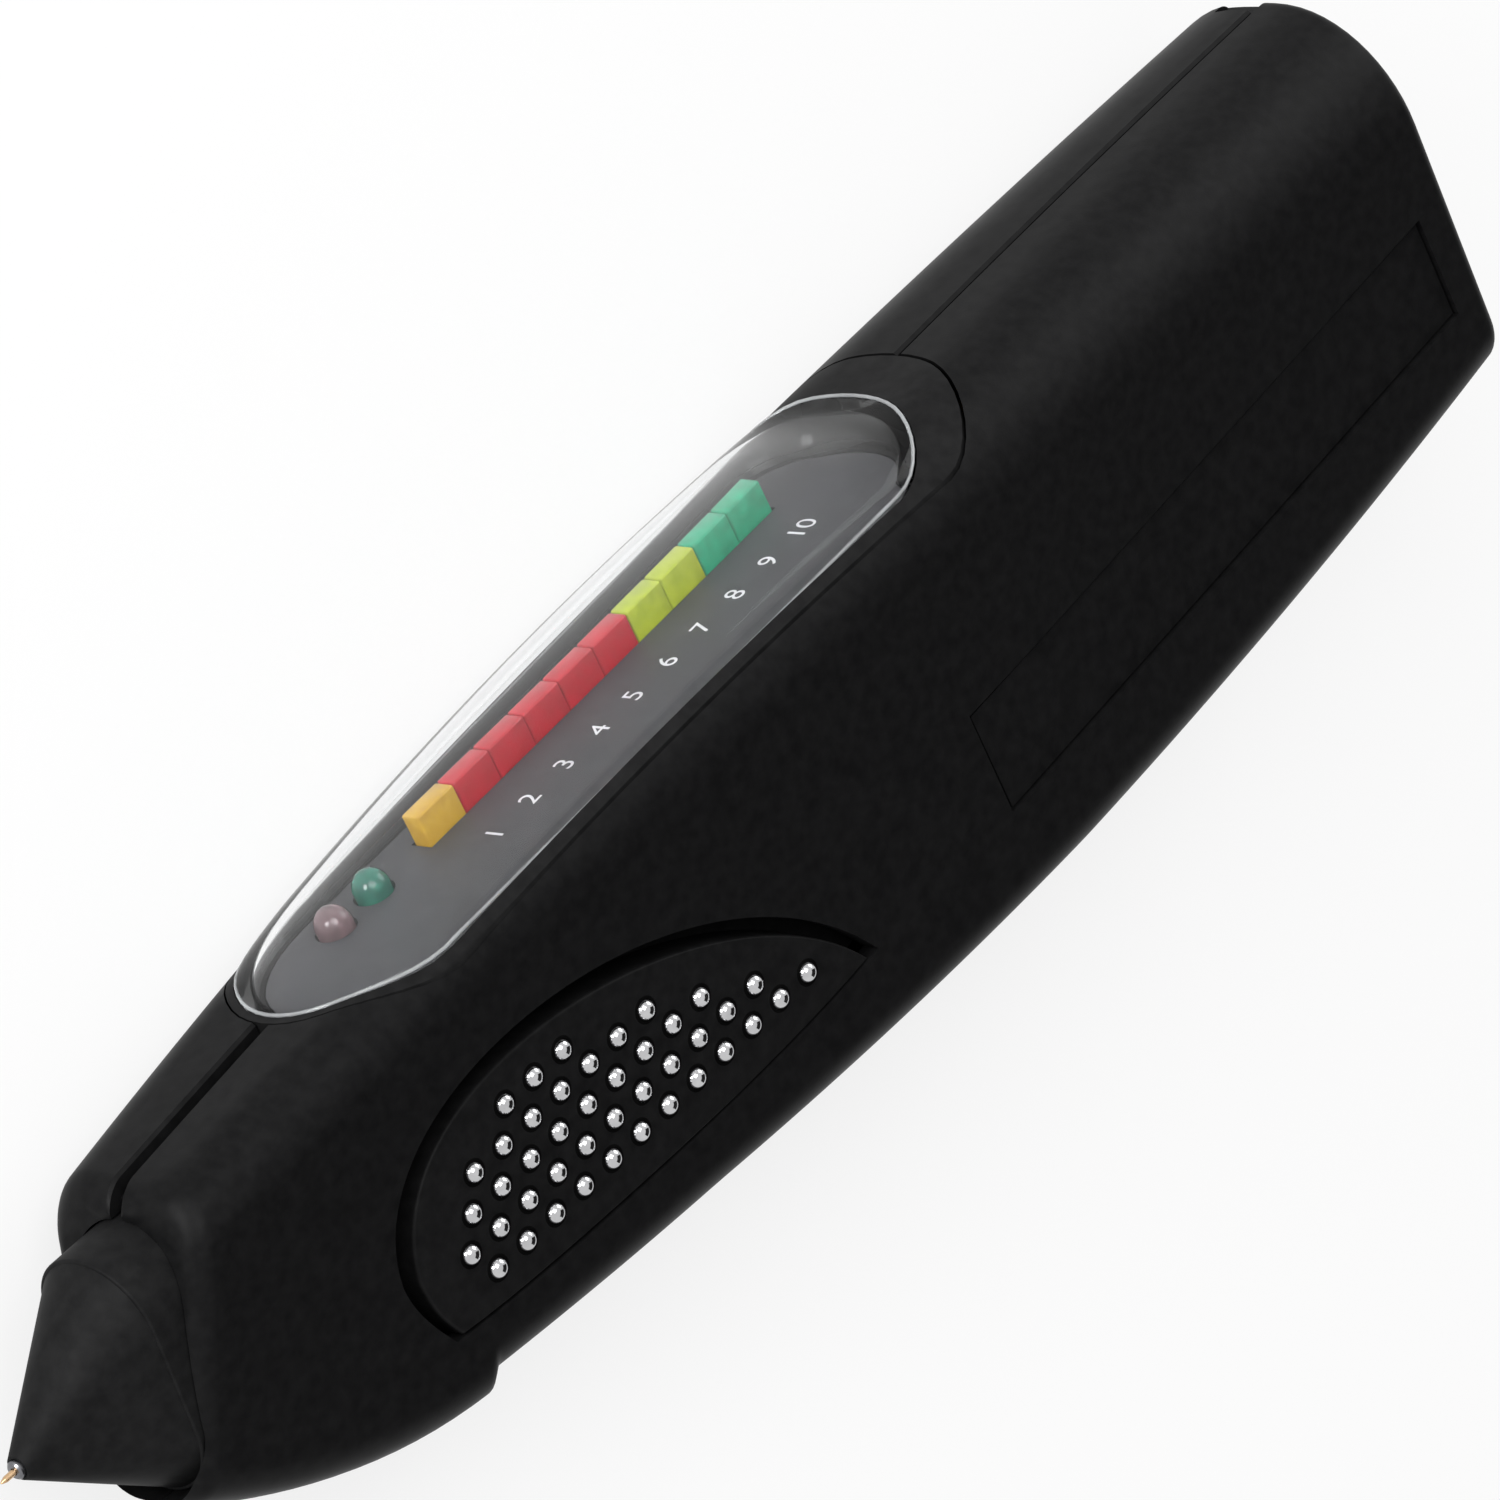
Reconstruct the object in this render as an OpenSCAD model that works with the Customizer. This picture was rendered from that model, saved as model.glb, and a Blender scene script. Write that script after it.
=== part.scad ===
// Hand-held diamond tester: two half shells, domed readout, studded grips, sprung probe tip.
// Drawn from the side: x runs from the tip to the tail, y to the readout, z to the right side.

/* [Body] */
// Place of the tail end behind the front of the window
tail_x = 132.3; // [121:0.1:145]
// Lean of the tail end
tail_lean = 0; // [-3:0.5:4]
// Thickness of the body at the tail
body_t = 24.4; // [23.6:0.1:27]
// Thickness of the body at the nose
nose_t = 15.4; // [14.6:0.1:18]
// Highest point of the top line above the front of the window
top_high = 1.9; // [1:0.1:3]
// Depth of the belly below the front of the window
belly_low = 36; // [35:0.1:38]
// Height of the step under the nose
belly_step = 1.4; // [0.5:0.1:2]
// Wall of the shells
wall = 1.6; // [1.4:0.1:1.8]
// Fillet along the top at the nose
top_fillet_nose = 4.5; // [3:0.1:6]
// Fillet along the top behind the window
top_fillet_mid = 7.6; // [6:0.1:9]
// Fillet along the top at the tail
top_fillet_tail = 10.8; // [9:0.1:11]
// Fillet along the belly
belly_fillet = 4; // [3:0.1:5]
// Draw-in of the lower side at the nose
side_draft = 1.35; // [1:0.05:1.5]
// Lean of the nose front
front_lean = 23.7; // [20:0.1:27]
// Depth of the label recess
label_depth = 0.3; // [0.1:0.1:0.6]

/* [Window] */
// Length of the lens
lens_len = 75.5; // [72:0.5:80]
// Half width of the lens
lens_half = 9; // [8:0.1:9.4]
// Height of the dome above the front of the window
dome_high = 3.7; // [3.4:0.1:4.6]
// Wall of the lens
lens_wall = 1.2; // [0.8:0.1:1.6]
// Width of the bezel behind the lens
bezel_rear = 4.5; // [3:0.1:5]
// Width of the bezel beside the lens
bezel_rim = 0.8; // [0.5:0.1:1]
// Length of one step of the bar
bar_pitch = 4.34; // [4:0.02:4.5]
// Width of the bar
bar_w = 1.8; // [1.4:0.1:2.2]
// Height of the bar above the panel
bar_high = 2.4; // [1.6:0.1:2.8]
// Diameter of a round lamp
lamp_d = 3; // [2:0.1:3.4]

/* [Grip] */
// Pitch of the studs along a row
stud_pitch = 3.29; // [3:0.01:3.4]
// Distance of the stud rows
row_pitch = 2.53; // [2.4:0.01:2.7]
// Diameter of a stud
stud_d = 1.7; // [1.2:0.1:2]
// Width of the groove round the grip
groove_w = 1.5; // [1:0.1:1.8]
// Depth of the grip face below the side at the nose
grip_sink = 1.2; // [0.8:0.1:1.4]

/* [Nose] */
// Width of the cone at its base
cone_w = 10.6; // [9.6:0.1:11.4]
// Height of the cone at its base
cone_h = 19.4; // [18:0.1:20.4]
// Length of the cone
cone_len = 11.4; // [10:0.1:14]
// Lift of the cone towards the readout
cone_pitch = 4; // [0:0.5:8]
// Diameter of the needle
needle_d = 0.5; // [0.4:0.05:0.6]
// Needle that shows in front of the tip ring
needle_show = 1.4; // [1.2:0.1:2]
// Travel of the sprung needle
needle_travel = 1; // [0.5:0.1:1.1]

/* [Power] */
// Diameter of a cell
cell_d = 10.5; // [10:0.1:10.5]
// Length of a cell
cell_len = 44.5; // [43:0.5:44.5]
// Diameter of the power button
button_d = 6.4; // [5:0.1:7]
// Travel of the power button
button_travel = 0.6; // [0.4:0.1:0.7]
// Thickness of the circuit boards
board_t = 1.2; // [0.8:0.1:1.6]

/* [Fits] */
// Gap between fixed pieces
fit = 0.15; // [0.1:0.01:0.2]
// Gap round sliding pieces
slide_fit = 0.05; // [0.03:0.01:0.1]
// Gap of the battery cover in its track
track_fit = 0.2; // [0.1:0.05:0.3]

/* [Hidden] */
$fn = 48;
eps = 0.01;
far = 400;

// Body lines
half_t = body_t / 2;
front_x = -20;
front_y = -4;
top_mid_x = 88;
top_r = 1650;
belly_mid_x = 62;
belly_r = 636;
step_x = -1.4;
step_run = 1.2;
taper_x = 70;
draft_run = 45;
fillet_x = [12, 60, 131];
nose_slope = 0.108;
nose_curve = 0.0116;
function top_y(x) = top_high - pow(x - top_mid_x, 2) / (2 * top_r);
function arc_belly_y(x) = -belly_low + pow(x - belly_mid_x, 2) / (2 * belly_r);
function nose_belly_y(x) = arc_belly_y(step_x) - belly_step + nose_slope * (step_x - x)
    + nose_curve * pow(step_x - x, 2);
function belly_y(x) = x < step_x ? nose_belly_y(x) : arc_belly_y(x);
function half_t_at(x) = half_t - (half_t - nose_t / 2) * pow(max(0, taper_x - x) / (taper_x - front_x), 2);
function top_fillet_at(x) =
    lookup(x, [[fillet_x[0], top_fillet_nose], [fillet_x[1], top_fillet_mid], [fillet_x[2], top_fillet_tail]]);
function draft_at(x) = side_draft * min(1, max(0, (taper_x - x) / draft_run));
// Height of the skin above a place beside the seam
function skin_y(x, z) =
    let (r = top_fillet_at(x), d = max(0, abs(z) - half_t_at(x) + r))
    top_y(x) - r + sqrt(max(0, r * r - d * d));
stations = [-34, -28, -22, -16, -10, -5, step_x - eps, step_x + step_run, 4, for (x = [12 : 8 : 148]) x];
arc_steps = 6;

// Window lines
lens_front_run = 12;
lens_widen = 0.12;
lens_foot_y = -2.4;
ledge = 1.6;
panel_t = 1.2;
panel_top_y = lens_foot_y;
bezel_low_y = -5.5;
bar_share = 0.298;
bar_x = bar_share * lens_len;
bar_z = -4.2;
bar_gap = 0.1;
ready_share = 0.22;
ready_x = ready_share * lens_len;
battery_share = 0.16;
battery_lamp_x = battery_share * lens_len;
lamp_foot = 0.4;
board_z = 7;
board_x0 = 6;
board_end = 7.5;
board_x1 = lens_len - board_end;
display_board_y = bezel_low_y;
tongue_t = 1;
tongue_w = 6;
tongue_len = 2.5;
tongue_root = 0.6;
dome_steps = 12;
dome_mid_x = 38;
dome_tilt = 0.65;
dome_bow = 2.7;
dome_plan_power = 0.8;
dome_section_power = 0.9;

// Main board
main_x0 = 6;
main_y0 = -27;
main_y1 = -10;
post_d = 4;
header_x = 30;
header_len = 20;
header_t = 2.4;
chip_t = 1.4;
controller_place = [40, -22];
controller_w = 9;
amplifier_place = [24, -20];
amplifier_size = [5, 6];
buzzer_place = [60, -19];
buzzer_d = 9;
buzzer_t = 4;
buzzer_hole = 1.6;

// Grip
grip_x0 = -5.6;
grip_front_y = -20;
grip_foot = [-3.2, -27];
grip_tail = [45.8, -27.6];
grip_lift = [34.3, -7.5];
grip_brow = [-4.2, -3];
grip_keel = [[9, -28.6], [33, -29.2]];
grip_front = [grip_x0, grip_front_y];
grip_draw = [[-0.8, 0], [0.7, -3], [1.9, -0.8], [1.1, -0.7], [0.5, 0.1]];
grip_front_pull = [0, -2.6];
grip_foot_pull = [-1, 1.8];
grip_curve_steps = 20;
grip_foot_steps = 4;
grip_keel_steps = 6;
grip_face_x = 0;
grip_face_slope = 3.7;
grip_plate_t = 0.4;
grip_flange_t = 1;
grip_flange_drop = 1.9;
grip_flange_rim = 0.8;
grip_plate_rim = 0.4;
grip_cut_deep = 5.6;
stud_row_counts = [12, 11, 9, 7, 3];
stud_row_starts = [0, -0.5, 0, 0.5, 2];
stud_x0 = 2.7;
stud_y0 = -24.7;
stud_rise = 0.65;
stem_d = 0.8;
stud_ball_r = (pow(stud_d / 2, 2) + pow(stud_rise, 2)) / (2 * stud_rise);

// Nose
cone_x = -25.3;
cone_y = -13.5;
collar_rim = 0.3;
collar_len = 7;
collar_room = 2;
tip_d = 2;
ring_len = 0.9;
ring_d = 1.5;
guide_d = 6;
guide_bore = 4;
guide_front = 2.4;
guide_len = 20;
guide_back = 1.4;
carrier_len = 9;
carrier_gap = 1.2;
carrier_front = guide_front - carrier_gap;
carrier_back = carrier_front - carrier_len;
spring_d = 3;
spring_wire = 0.6;
needle_root = 1;
needle_hole = 0.9;
ring_front = cone_len + ring_len / 2;
needle_front = ring_front + needle_show;

// Power
cell_z = -3.9;
tail_room = 7.5;
cell_x0 = tail_x - tail_room - cell_len;
nub_d = 3.8;
nub_len = 0.8;
cell_y = [-11, -21.9];
cover_y0 = -28;
cover_y1 = -5;
cover_lead = 3.1;
cover_x0 = cell_x0 - cover_lead;
door_lip = 0.4;
pull_x = tail_x - 13.4;
pull_y = -21;
pull_pitch = 2;
pull_count = 5;
pull_w = 0.9;
pull_len = 9;
pull_depth = 0.4;
tongue_out = 0.9;
track_t = 1;
rim_t = 2.6;
rim_w = 2.2;
tray_wall = 1.4;
tray_gap = 0.6;
spring_room = 2;
plate_t = 0.4;
plate_w = 6;
cell_spring_d = [3, 6];
tray_x1 = cell_x0 + cell_len + spring_room + tray_wall;
tray_x0 = cell_x0 - plate_t - tray_wall;
tray_floor_z = cell_z + cell_d / 2 + slide_fit;
tray_low_z = -half_t + wall + rim_t + fit;
tray_posts = [tray_x0 + 8, tray_x1 - 14];
button_y = -16;
button_z = 6.4;
button_proud = 0.75;
button_room = 0.6;
button_flange_t = 1;
button_flange_rim = 0.7;
tail_inner_x = tail_x - button_y * tan(tail_lean) - wall / cos(tail_lean);
button_stem = tail_inner_x - button_room;
switch_y = 6;
switch_t = 3.2;
switch_gap = 0.3;
switch_low = 2.9;
switch_high = 5.6;
switch_board_w = 10;
switch_board_low = 3.2;
switch_board_high = 6;
switch_back_x = button_stem - button_flange_t - button_travel - switch_gap - switch_t - board_t;
rib_t = 2;
screw_d = 2;
screw_head_d = 3.8;
screw_head_t = 1.6;
boss_d = 4.4;
screw_lead = 2.9;
screw_places = [[-9, -27.6], [56, -31], [cover_x0 - screw_lead, -31], [92, -2.2]];
screw_back = 6;
screw_short = 0.4;

// Label and tail notch
label_place = [94.9, -21.7];
label_size = [64.4, 9.2];
label_turn = 1.9;
notch_run = 2;
notch_w = 4;
notch_deep = 0.9;

// Places that follow the battery room
board_clear = 3.5;
main_x1 = cover_x0 - board_clear;
board_posts = [[main_x1 - 20, main_y1 - 3], [main_x1 - 6, main_y0 + 4], [main_x1 - 6, main_y1 - 3]];

// Colours
black = [0.03, 0.03, 0.03];
dark = [0.08, 0.08, 0.08];
steel = [0.7, 0.71, 0.73];
green_board = [0.05, 0.3, 0.12];

tail_corner_x = tail_x - (belly_y(tail_x) + belly_fillet) * tan(tail_lean);
button_end_x = tail_x - button_y * tan(tail_lean) + button_proud;
origin_x = (cone_x - needle_front * cos(cone_pitch) + max(tail_corner_x, button_end_x)) / 2;
dome_top_y = dome_high + dome_tilt * dome_tilt / (4 * dome_bow);
origin_y = (dome_top_y - belly_low) / 2;

// Puts the side drawing in the part's frame, lying on its left side
module placed() {
    translate([-origin_x, -origin_y, half_t]) children();
}

module loft(rings) {
    n = len(rings[0]);
    m = len(rings);
    polyhedron(
        points = [for (ring = rings) each ring],
        faces = [
            [for (i = [0 : n - 1]) i],
            [for (i = [n - 1 : -1 : 0]) (m - 1) * n + i],
            for (j = [0 : m - 2], i = [0 : n - 1]) [j * n + i, (j + 1) * n + i, (j + 1) * n + (i + 1) % n],
            for (j = [0 : m - 2], i = [0 : n - 1]) [j * n + i, (j + 1) * n + (i + 1) % n, j * n + (i + 1) % n]
        ]
    );
}

function corner_arc(z, y, r, a0, a1) = [for (i = [0 : arc_steps])
    [z + r * cos(a0 + (a1 - a0) * i / arc_steps), y + r * sin(a0 + (a1 - a0) * i / arc_steps)]];
function half_section(x, inset) =
    let (t = half_t_at(x) - inset, hi = top_y(x) - inset, lo = belly_y(x) + inset,
        rt = max(top_fillet_at(x) - inset, 1), rb = max(belly_fillet - inset, 1))
    concat(corner_arc(t - rt, hi - rt, rt, 90, 0), corner_arc(t - draft_at(x) - rb, lo + rb, rb, 0, -90));
function section(x, inset) =
    let (half = half_section(x, inset), n = len(half))
    concat([for (p = half) [x, p[1], p[0]]], [for (i = [n - 1 : -1 : 0]) [x, half[i][1], -half[i][0]]]);

// The body's outer form, drawn in by an inset
module body_form(inset) {
    difference() {
        loft([for (x = stations) section(x, inset)]);
        translate([front_x, front_y, 0]) rotate([0, 0, -front_lean])
            translate([-far + inset, -far / 2, -far / 2]) cube(far);
        translate([tail_x, 0, 0]) rotate([0, 0, tail_lean])
            translate([-inset, -far / 2, -far / 2]) cube(far);
    }
}

// Widening of the window from its front round to its rear round
function widening(x) =
    1 + lens_widen * lookup(x, [[lens_front_run, 0], [lens_len - lens_half, 1]]);
function lens_half_at(x, grow) =
    let (f = lens_front_run + grow, r = lens_half + grow, a = -grow, b = lens_len + grow)
    widening(x) * lens_share(x, f, r, a, b);
function lens_share(x, f, r, a, b) =
    x < a + f ? r * sqrt(max(0, 1 - pow((a + f - x) / f, 2)))
    : x > b - r ? r * sqrt(max(0, 1 - pow((x - b + r) / r, 2))) : r;
function lens_stations(grow) =
    let (f = lens_front_run + grow, r = lens_half + grow)
    concat([for (i = [1 : 8]) -grow + f * (1 - cos(90 * i / 8))],
        [for (i = [1 : 3]) -grow + f + (lens_len + 2 * grow - f - r) * i / 4],
        [for (i = [0 : 7]) lens_len + grow - r + r * sin(90 * i / 8)]);

// Plan of the window, grown all round and by rear behind it
module window_plan(grow, rear = 0) {
    xs = lens_stations(grow);
    tail = lens_len + grow;
    polygon(concat([[-grow, 0]], [for (x = xs) [x, lens_half_at(x, grow)]],
        [[tail, 0]], [for (i = [len(xs) - 1 : -1 : 0]) [xs[i], -lens_half_at(xs[i], grow)]]));
    if (rear > 0)
        translate([lens_len - lens_half + rear, 0]) scale([1, 1 + lens_widen]) circle(lens_half + grow);
}

// Upright block over a plan that is drawn in x and z
module upright(y0, y1) {
    translate([0, y1, 0]) rotate([90, 0, 0]) linear_extrude(y1 - y0) mirror([0, 1]) children();
}

function bezier(a, b, c, d, u) = pow(1 - u, 3) * a + 3 * pow(1 - u, 2) * u * b + 3 * (1 - u) * u * u * c
    + pow(u, 3) * d;
// Outline of the grip, drawn in by g along its brow and front and hardly at its lower edge
function grip_outline(g) =
    let (tail = grip_tail + g * grip_draw[0], lift = grip_lift + g * grip_draw[1],
        brow = grip_brow + g * grip_draw[2], front = grip_front + g * grip_draw[3], foot = grip_foot + g * grip_draw[4])
    concat([for (i = [0 : grip_curve_steps]) bezier(tail, lift, brow, front, i / grip_curve_steps)],
        [for (i = [1 : grip_foot_steps])
            bezier(front, front + grip_front_pull, foot + grip_foot_pull, foot, i / grip_foot_steps)],
        [for (i = [1 : grip_keel_steps - 1])
            bezier(foot, grip_keel[0] + g * [0, 0.1], grip_keel[1] + g * [0, 0.1], tail, i / grip_keel_steps)]);

module grip_plan(g) {
    polygon(grip_outline(g));
}

// Frame whose z runs out of the right grip face
module grip_frame() {
    translate([grip_face_x, 0, half_t_at(grip_face_x) - grip_sink]) rotate([0, -grip_face_slope, 0]) children();
}

// Frame whose x runs out along the probe, from the base of the cone
module probe_frame() {
    translate([cone_x, cone_y, 0]) rotate([0, 0, 180 - cone_pitch]) children();
}

module obround_2d(w, h) {
    square([h - w, w], center = true);
    for (side = [-1, 1]) translate([side * (h - w) / 2, 0]) circle(d = w);
}

// Obround bar along the probe, tall in y
module obround_bar(w, h, x0, x1) {
    translate([x0, 0, 0]) rotate([0, 90, 0]) linear_extrude(x1 - x0) rotate(90) obround_2d(w, h);
}

module probe_rod(d, x0, x1) {
    translate([x0, 0, 0]) rotate([0, 90, 0]) cylinder(d = d, h = x1 - x0);
}

module window_cut() {
    upright(bezel_low_y - 1, far / 4) window_plan(bezel_rim + fit, bezel_rear + fit);
}

module cover_track(gap) {
    translate([cover_x0 - gap, cover_y0 - gap, -half_t - 1])
        cube([far, cover_y1 - cover_y0 + 2 * gap, 1 + wall + track_t + gap]);
    translate([cover_x0 - gap, cover_y0 - tongue_out - gap, -half_t + wall - gap])
        cube([far, cover_y1 - cover_y0 + 2 * tongue_out + 2 * gap, track_t + 2 * gap]);
}

// One half of the shells with what both halves share
module half_shell(side) {
    difference() {
        intersection() {
            body_form(0);
            translate([-far / 2, -far / 2, side > 0 ? 0 : -far]) cube(far);
        }
        body_form(wall);
        mirror([0, 0, side > 0 ? 0 : 1]) grip_frame()
            translate([0, 0, -grip_cut_deep]) linear_extrude(far / 4) grip_plan(0);
        probe_frame() obround_bar(cone_w + 2 * collar_rim + 2 * fit, cone_h + 2 * collar_rim + 2 * fit,
            -collar_len - collar_room, cone_len);
    }
}

// Trims posts and ribs to end inside the outer wall
module on_wall() {
    intersection() {
        body_form(wall / 2);
        union() children();
    }
}

// Post that stands on a side wall and ends z0 away from the seam
module wall_post(place, d, z0, side) {
    translate([place[0], place[1], side > 0 ? z0 : -far / 2]) cylinder(d = d, h = far / 2 - z0);
}

module right_housing() {
    color(black) placed() difference() {
        union() {
            half_shell(1);
            on_wall() {
                for (p = screw_places) wall_post(p, boss_d, 0, 1);
                for (p = board_posts) wall_post(p, post_d, board_t / 2, 1);
                for (x = tray_posts)
                    wall_post([x, (cover_y0 + cover_y1) / 2], post_d, tray_floor_z + tray_wall, 1);
                translate([switch_back_x - rib_t, button_y - switch_y, button_z - 1])
                    cube([rib_t, 2 * switch_y, far]);
            }
        }
        window_cut();
        for (p = screw_places) translate([p[0], p[1], -1]) cylinder(d = screw_d + 2 * slide_fit, h = 1 + screw_back);
        translate([tail_x - 10, button_y, button_z]) rotate([0, 90, 0])
            cylinder(d = button_d + 2 * slide_fit, h = 30);
        translate([label_place[0], label_place[1], half_t - label_depth]) rotate(label_turn)
            linear_extrude(far / 4) square(label_size, center = true);
    }
}

module left_housing() {
    color(black) placed() difference() {
        union() {
            half_shell(-1);
            on_wall() {
                for (p = screw_places) wall_post(p, boss_d, 0, -1);
                translate([cover_x0 - rim_w, cover_y0 - rim_w, -half_t])
                    cube([far, cover_y1 - cover_y0 + 2 * rim_w, wall + rim_t]);
            }
        }
        window_cut();
        cover_track(track_fit);
        translate([cell_x0 - tray_gap, cover_y0 + door_lip, -far])
            cube([cell_len + spring_room, cover_y1 - cover_y0 - 2 * door_lip, far]);
        for (p = screw_places) {
            translate([p[0], p[1], -far]) cylinder(d = screw_d + 2 * slide_fit, h = far + 1);
            translate([p[0], p[1], -far - screw_back]) cylinder(d = screw_head_d + 2 * fit, h = far);
        }
        translate([tail_x - notch_run, top_y(tail_x) - notch_deep, -notch_w]) cube([far, far, notch_w + 1]);
    }
}

module lens_bezel() {
    color(dark) placed() {
        difference() {
            intersection() {
                upright(bezel_low_y, far / 4) window_plan(bezel_rim, bezel_rear);
                body_form(0);
            }
            upright(lens_foot_y, far / 4) window_plan(fit);
            upright(lens_foot_y - panel_t, far / 4) window_plan(-ledge);
            upright(bezel_low_y - 1, far / 4) window_plan(-ledge - 1);
        }
        for (x = [-bezel_rim - tongue_len, lens_len + bezel_rear])
            translate([x, bezel_low_y, -tongue_w / 2])
                cube([tongue_len + tongue_root, tongue_t, tongue_w]);
    }
}

function dome_ring(x, inset) =
    let (w = max(lens_half_at(x, -inset), 0.05), k = w / (lens_half - inset) / widening(x),
        foot = lens_foot_y - inset, edge = skin_y(x, w) - inset, u = (x - dome_mid_x) / dome_mid_x,
        rise = (dome_high + dome_tilt * u - dome_bow * u * u - inset - edge) * pow(k, dome_plan_power))
    concat([for (i = [0 : dome_steps])
        let (a = 180 * i / dome_steps)
        [x, edge + rise * pow(sin(a), dome_section_power), -w * cos(a)]],
        [[x, foot, w], [x, foot, -w]]);

module dome(inset) {
    loft([for (x = lens_stations(-inset)) dome_ring(x, inset)]);
}

module display_lens() {
    color([0.8, 0.85, 0.88, 0.4]) placed() difference() {
        dome(0);
        dome(lens_wall);
    }
}

module bar_step(i) {
    translate([bar_x + i * bar_pitch + bar_gap / 2, display_board_y, bar_z - bar_w / 2])
        cube([bar_pitch - bar_gap, panel_top_y + bar_high - display_board_y, bar_w]);
}

module lamp_body(x, d) {
    translate([x, display_board_y, bar_z]) rotate([-90, 0, 0]) {
        cylinder(d = d, h = panel_top_y - display_board_y + lamp_foot);
        translate([0, 0, panel_top_y - display_board_y + lamp_foot]) difference() {
            sphere(d = d);
            translate([-d, -d, -2 * d]) cube(2 * d);
        }
    }
}

module display_panel() {
    color([0.3, 0.31, 0.32]) placed() difference() {
        upright(panel_top_y - panel_t, panel_top_y) window_plan(-ledge - fit);
        translate([bar_x - fit, -far / 2, bar_z - bar_w / 2 - fit])
            cube([10 * bar_pitch + 2 * fit, far, bar_w + 2 * fit]);
        for (x = [ready_x, battery_lamp_x])
            translate([x, -far / 2, bar_z]) rotate([-90, 0, 0]) cylinder(d = lamp_d + 2 * fit, h = far);
    }
}

module amber_bar_led() {
    color([0.85, 0.6, 0.1]) placed() bar_step(0);
}

module red_bar_leds() {
    color([0.7, 0.05, 0.08]) placed() for (i = [1 : 5]) bar_step(i);
}

module lime_bar_leds() {
    color([0.65, 0.75, 0.1]) placed() for (i = [6 : 7]) bar_step(i);
}

module green_bar_leds() {
    color([0.05, 0.55, 0.35]) placed() for (i = [8 : 9]) bar_step(i);
}

module ready_led() {
    color([0.1, 0.5, 0.35]) placed() lamp_body(ready_x, lamp_d);
}

module battery_led() {
    color([0.5, 0.2, 0.25]) placed() lamp_body(battery_lamp_x, lamp_d);
}

module display_board() {
    color(green_board) placed() translate([board_x0, display_board_y - board_t, -board_z])
        cube([board_x1 - board_x0, board_t, 2 * board_z]);
}

module board_header() {
    color(dark) placed() translate([header_x, main_y1, -header_t / 2])
        cube([header_len, display_board_y - board_t - main_y1, header_t]);
}

module main_board() {
    color(green_board) placed() translate([main_x0, main_y0, -board_t / 2])
        cube([main_x1 - main_x0, main_y1 - main_y0, board_t]);
}

module controller_chip() {
    color(dark) placed() translate([controller_place[0], controller_place[1], board_t / 2])
        cube([controller_w, controller_w, chip_t]);
}

module amplifier_chip() {
    color(dark) placed() translate([amplifier_place[0], amplifier_place[1], board_t / 2])
        cube([amplifier_size[0], amplifier_size[1], chip_t]);
}

module buzzer() {
    color(dark) placed() translate([buzzer_place[0], buzzer_place[1], -board_t / 2 - buzzer_t]) difference() {
        cylinder(d = buzzer_d, h = buzzer_t);
        translate([0, 0, -buzzer_t / 2]) cylinder(d = buzzer_hole, h = buzzer_t);
    }
}

function stud_places() = [for (j = [0 : len(stud_row_counts) - 1], i = [0 : stud_row_counts[j] - 1])
    [stud_x0 + (stud_row_starts[j] + i) * stud_pitch, stud_y0 + j * row_pitch]];

module grip_panel() {
    difference() {
        union() {
            translate([0, 0, -grip_flange_drop]) linear_extrude(grip_flange_drop) grip_plan(groove_w);
            translate([0, 0, -grip_flange_drop - grip_flange_t]) linear_extrude(grip_flange_t)
                offset(delta = grip_flange_rim) grip_plan(0);
        }
        for (p = stud_places()) translate([p[0], p[1], -grip_cut_deep]) cylinder(d = stem_d + 2 * slide_fit, h = 2 * grip_cut_deep);
    }
}

module contact_studs() {
    for (p = stud_places()) translate([p[0], p[1], 0]) {
        intersection() {
            translate([0, 0, stud_rise - stud_ball_r]) sphere(r = stud_ball_r);
            cylinder(d = stud_d, h = stud_d);
        }
        translate([0, 0, -grip_flange_drop - grip_flange_t])
            cylinder(d = stem_d, h = grip_flange_drop + grip_flange_t);
    }
}

module contact_plate() {
    translate([0, 0, -grip_flange_drop - grip_flange_t - grip_plate_t]) linear_extrude(grip_plate_t)
        grip_plan(groove_w + grip_plate_rim);
}

module grip_panel_right() {
    color(black) placed() grip_frame() grip_panel();
}

module grip_panel_left() {
    color(black) placed() mirror([0, 0, 1]) grip_frame() grip_panel();
}

module contact_studs_right() {
    color(steel) placed() grip_frame() contact_studs();
}

module contact_studs_left() {
    color(steel) placed() mirror([0, 0, 1]) grip_frame() contact_studs();
}

module contact_plate_right() {
    color(steel) placed() grip_frame() contact_plate();
}

module contact_plate_left() {
    color(steel) placed() mirror([0, 0, 1]) grip_frame() contact_plate();
}

module nose_collar() {
    color(dark) placed() probe_frame() difference() {
        obround_bar(cone_w + 2 * collar_rim, cone_h + 2 * collar_rim, -collar_len, 0);
        probe_rod(guide_d + 2 * slide_fit, -collar_len - 1, 1);
    }
}

module nose_cone() {
    color(black) placed() probe_frame() difference() {
        hull() {
            obround_bar(cone_w, cone_h, 0, eps);
            probe_rod(tip_d, cone_len - eps, cone_len);
        }
        probe_rod(guide_d + 2 * slide_fit, -1, guide_front + fit);
        probe_rod(needle_hole, -1, cone_len + 1);
        probe_rod(ring_d + 2 * slide_fit, cone_len - ring_len / 2, cone_len + 1);
    }
}

module tip_ring() {
    color(steel) placed() probe_frame() difference() {
        probe_rod(ring_d, cone_len - ring_len / 2, ring_front);
        probe_rod(needle_d + 2 * slide_fit, 0, cone_len + 2);
    }
}

module probe_needle() {
    color([0.72, 0.55, 0.35]) placed() probe_frame() union() {
        probe_rod(needle_d, carrier_front - needle_root, needle_front - needle_d);
        translate([needle_front - needle_d, 0, 0]) rotate([0, 90, 0])
            cylinder(d1 = needle_d, d2 = needle_d / 2, h = needle_d);
    }
}

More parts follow.
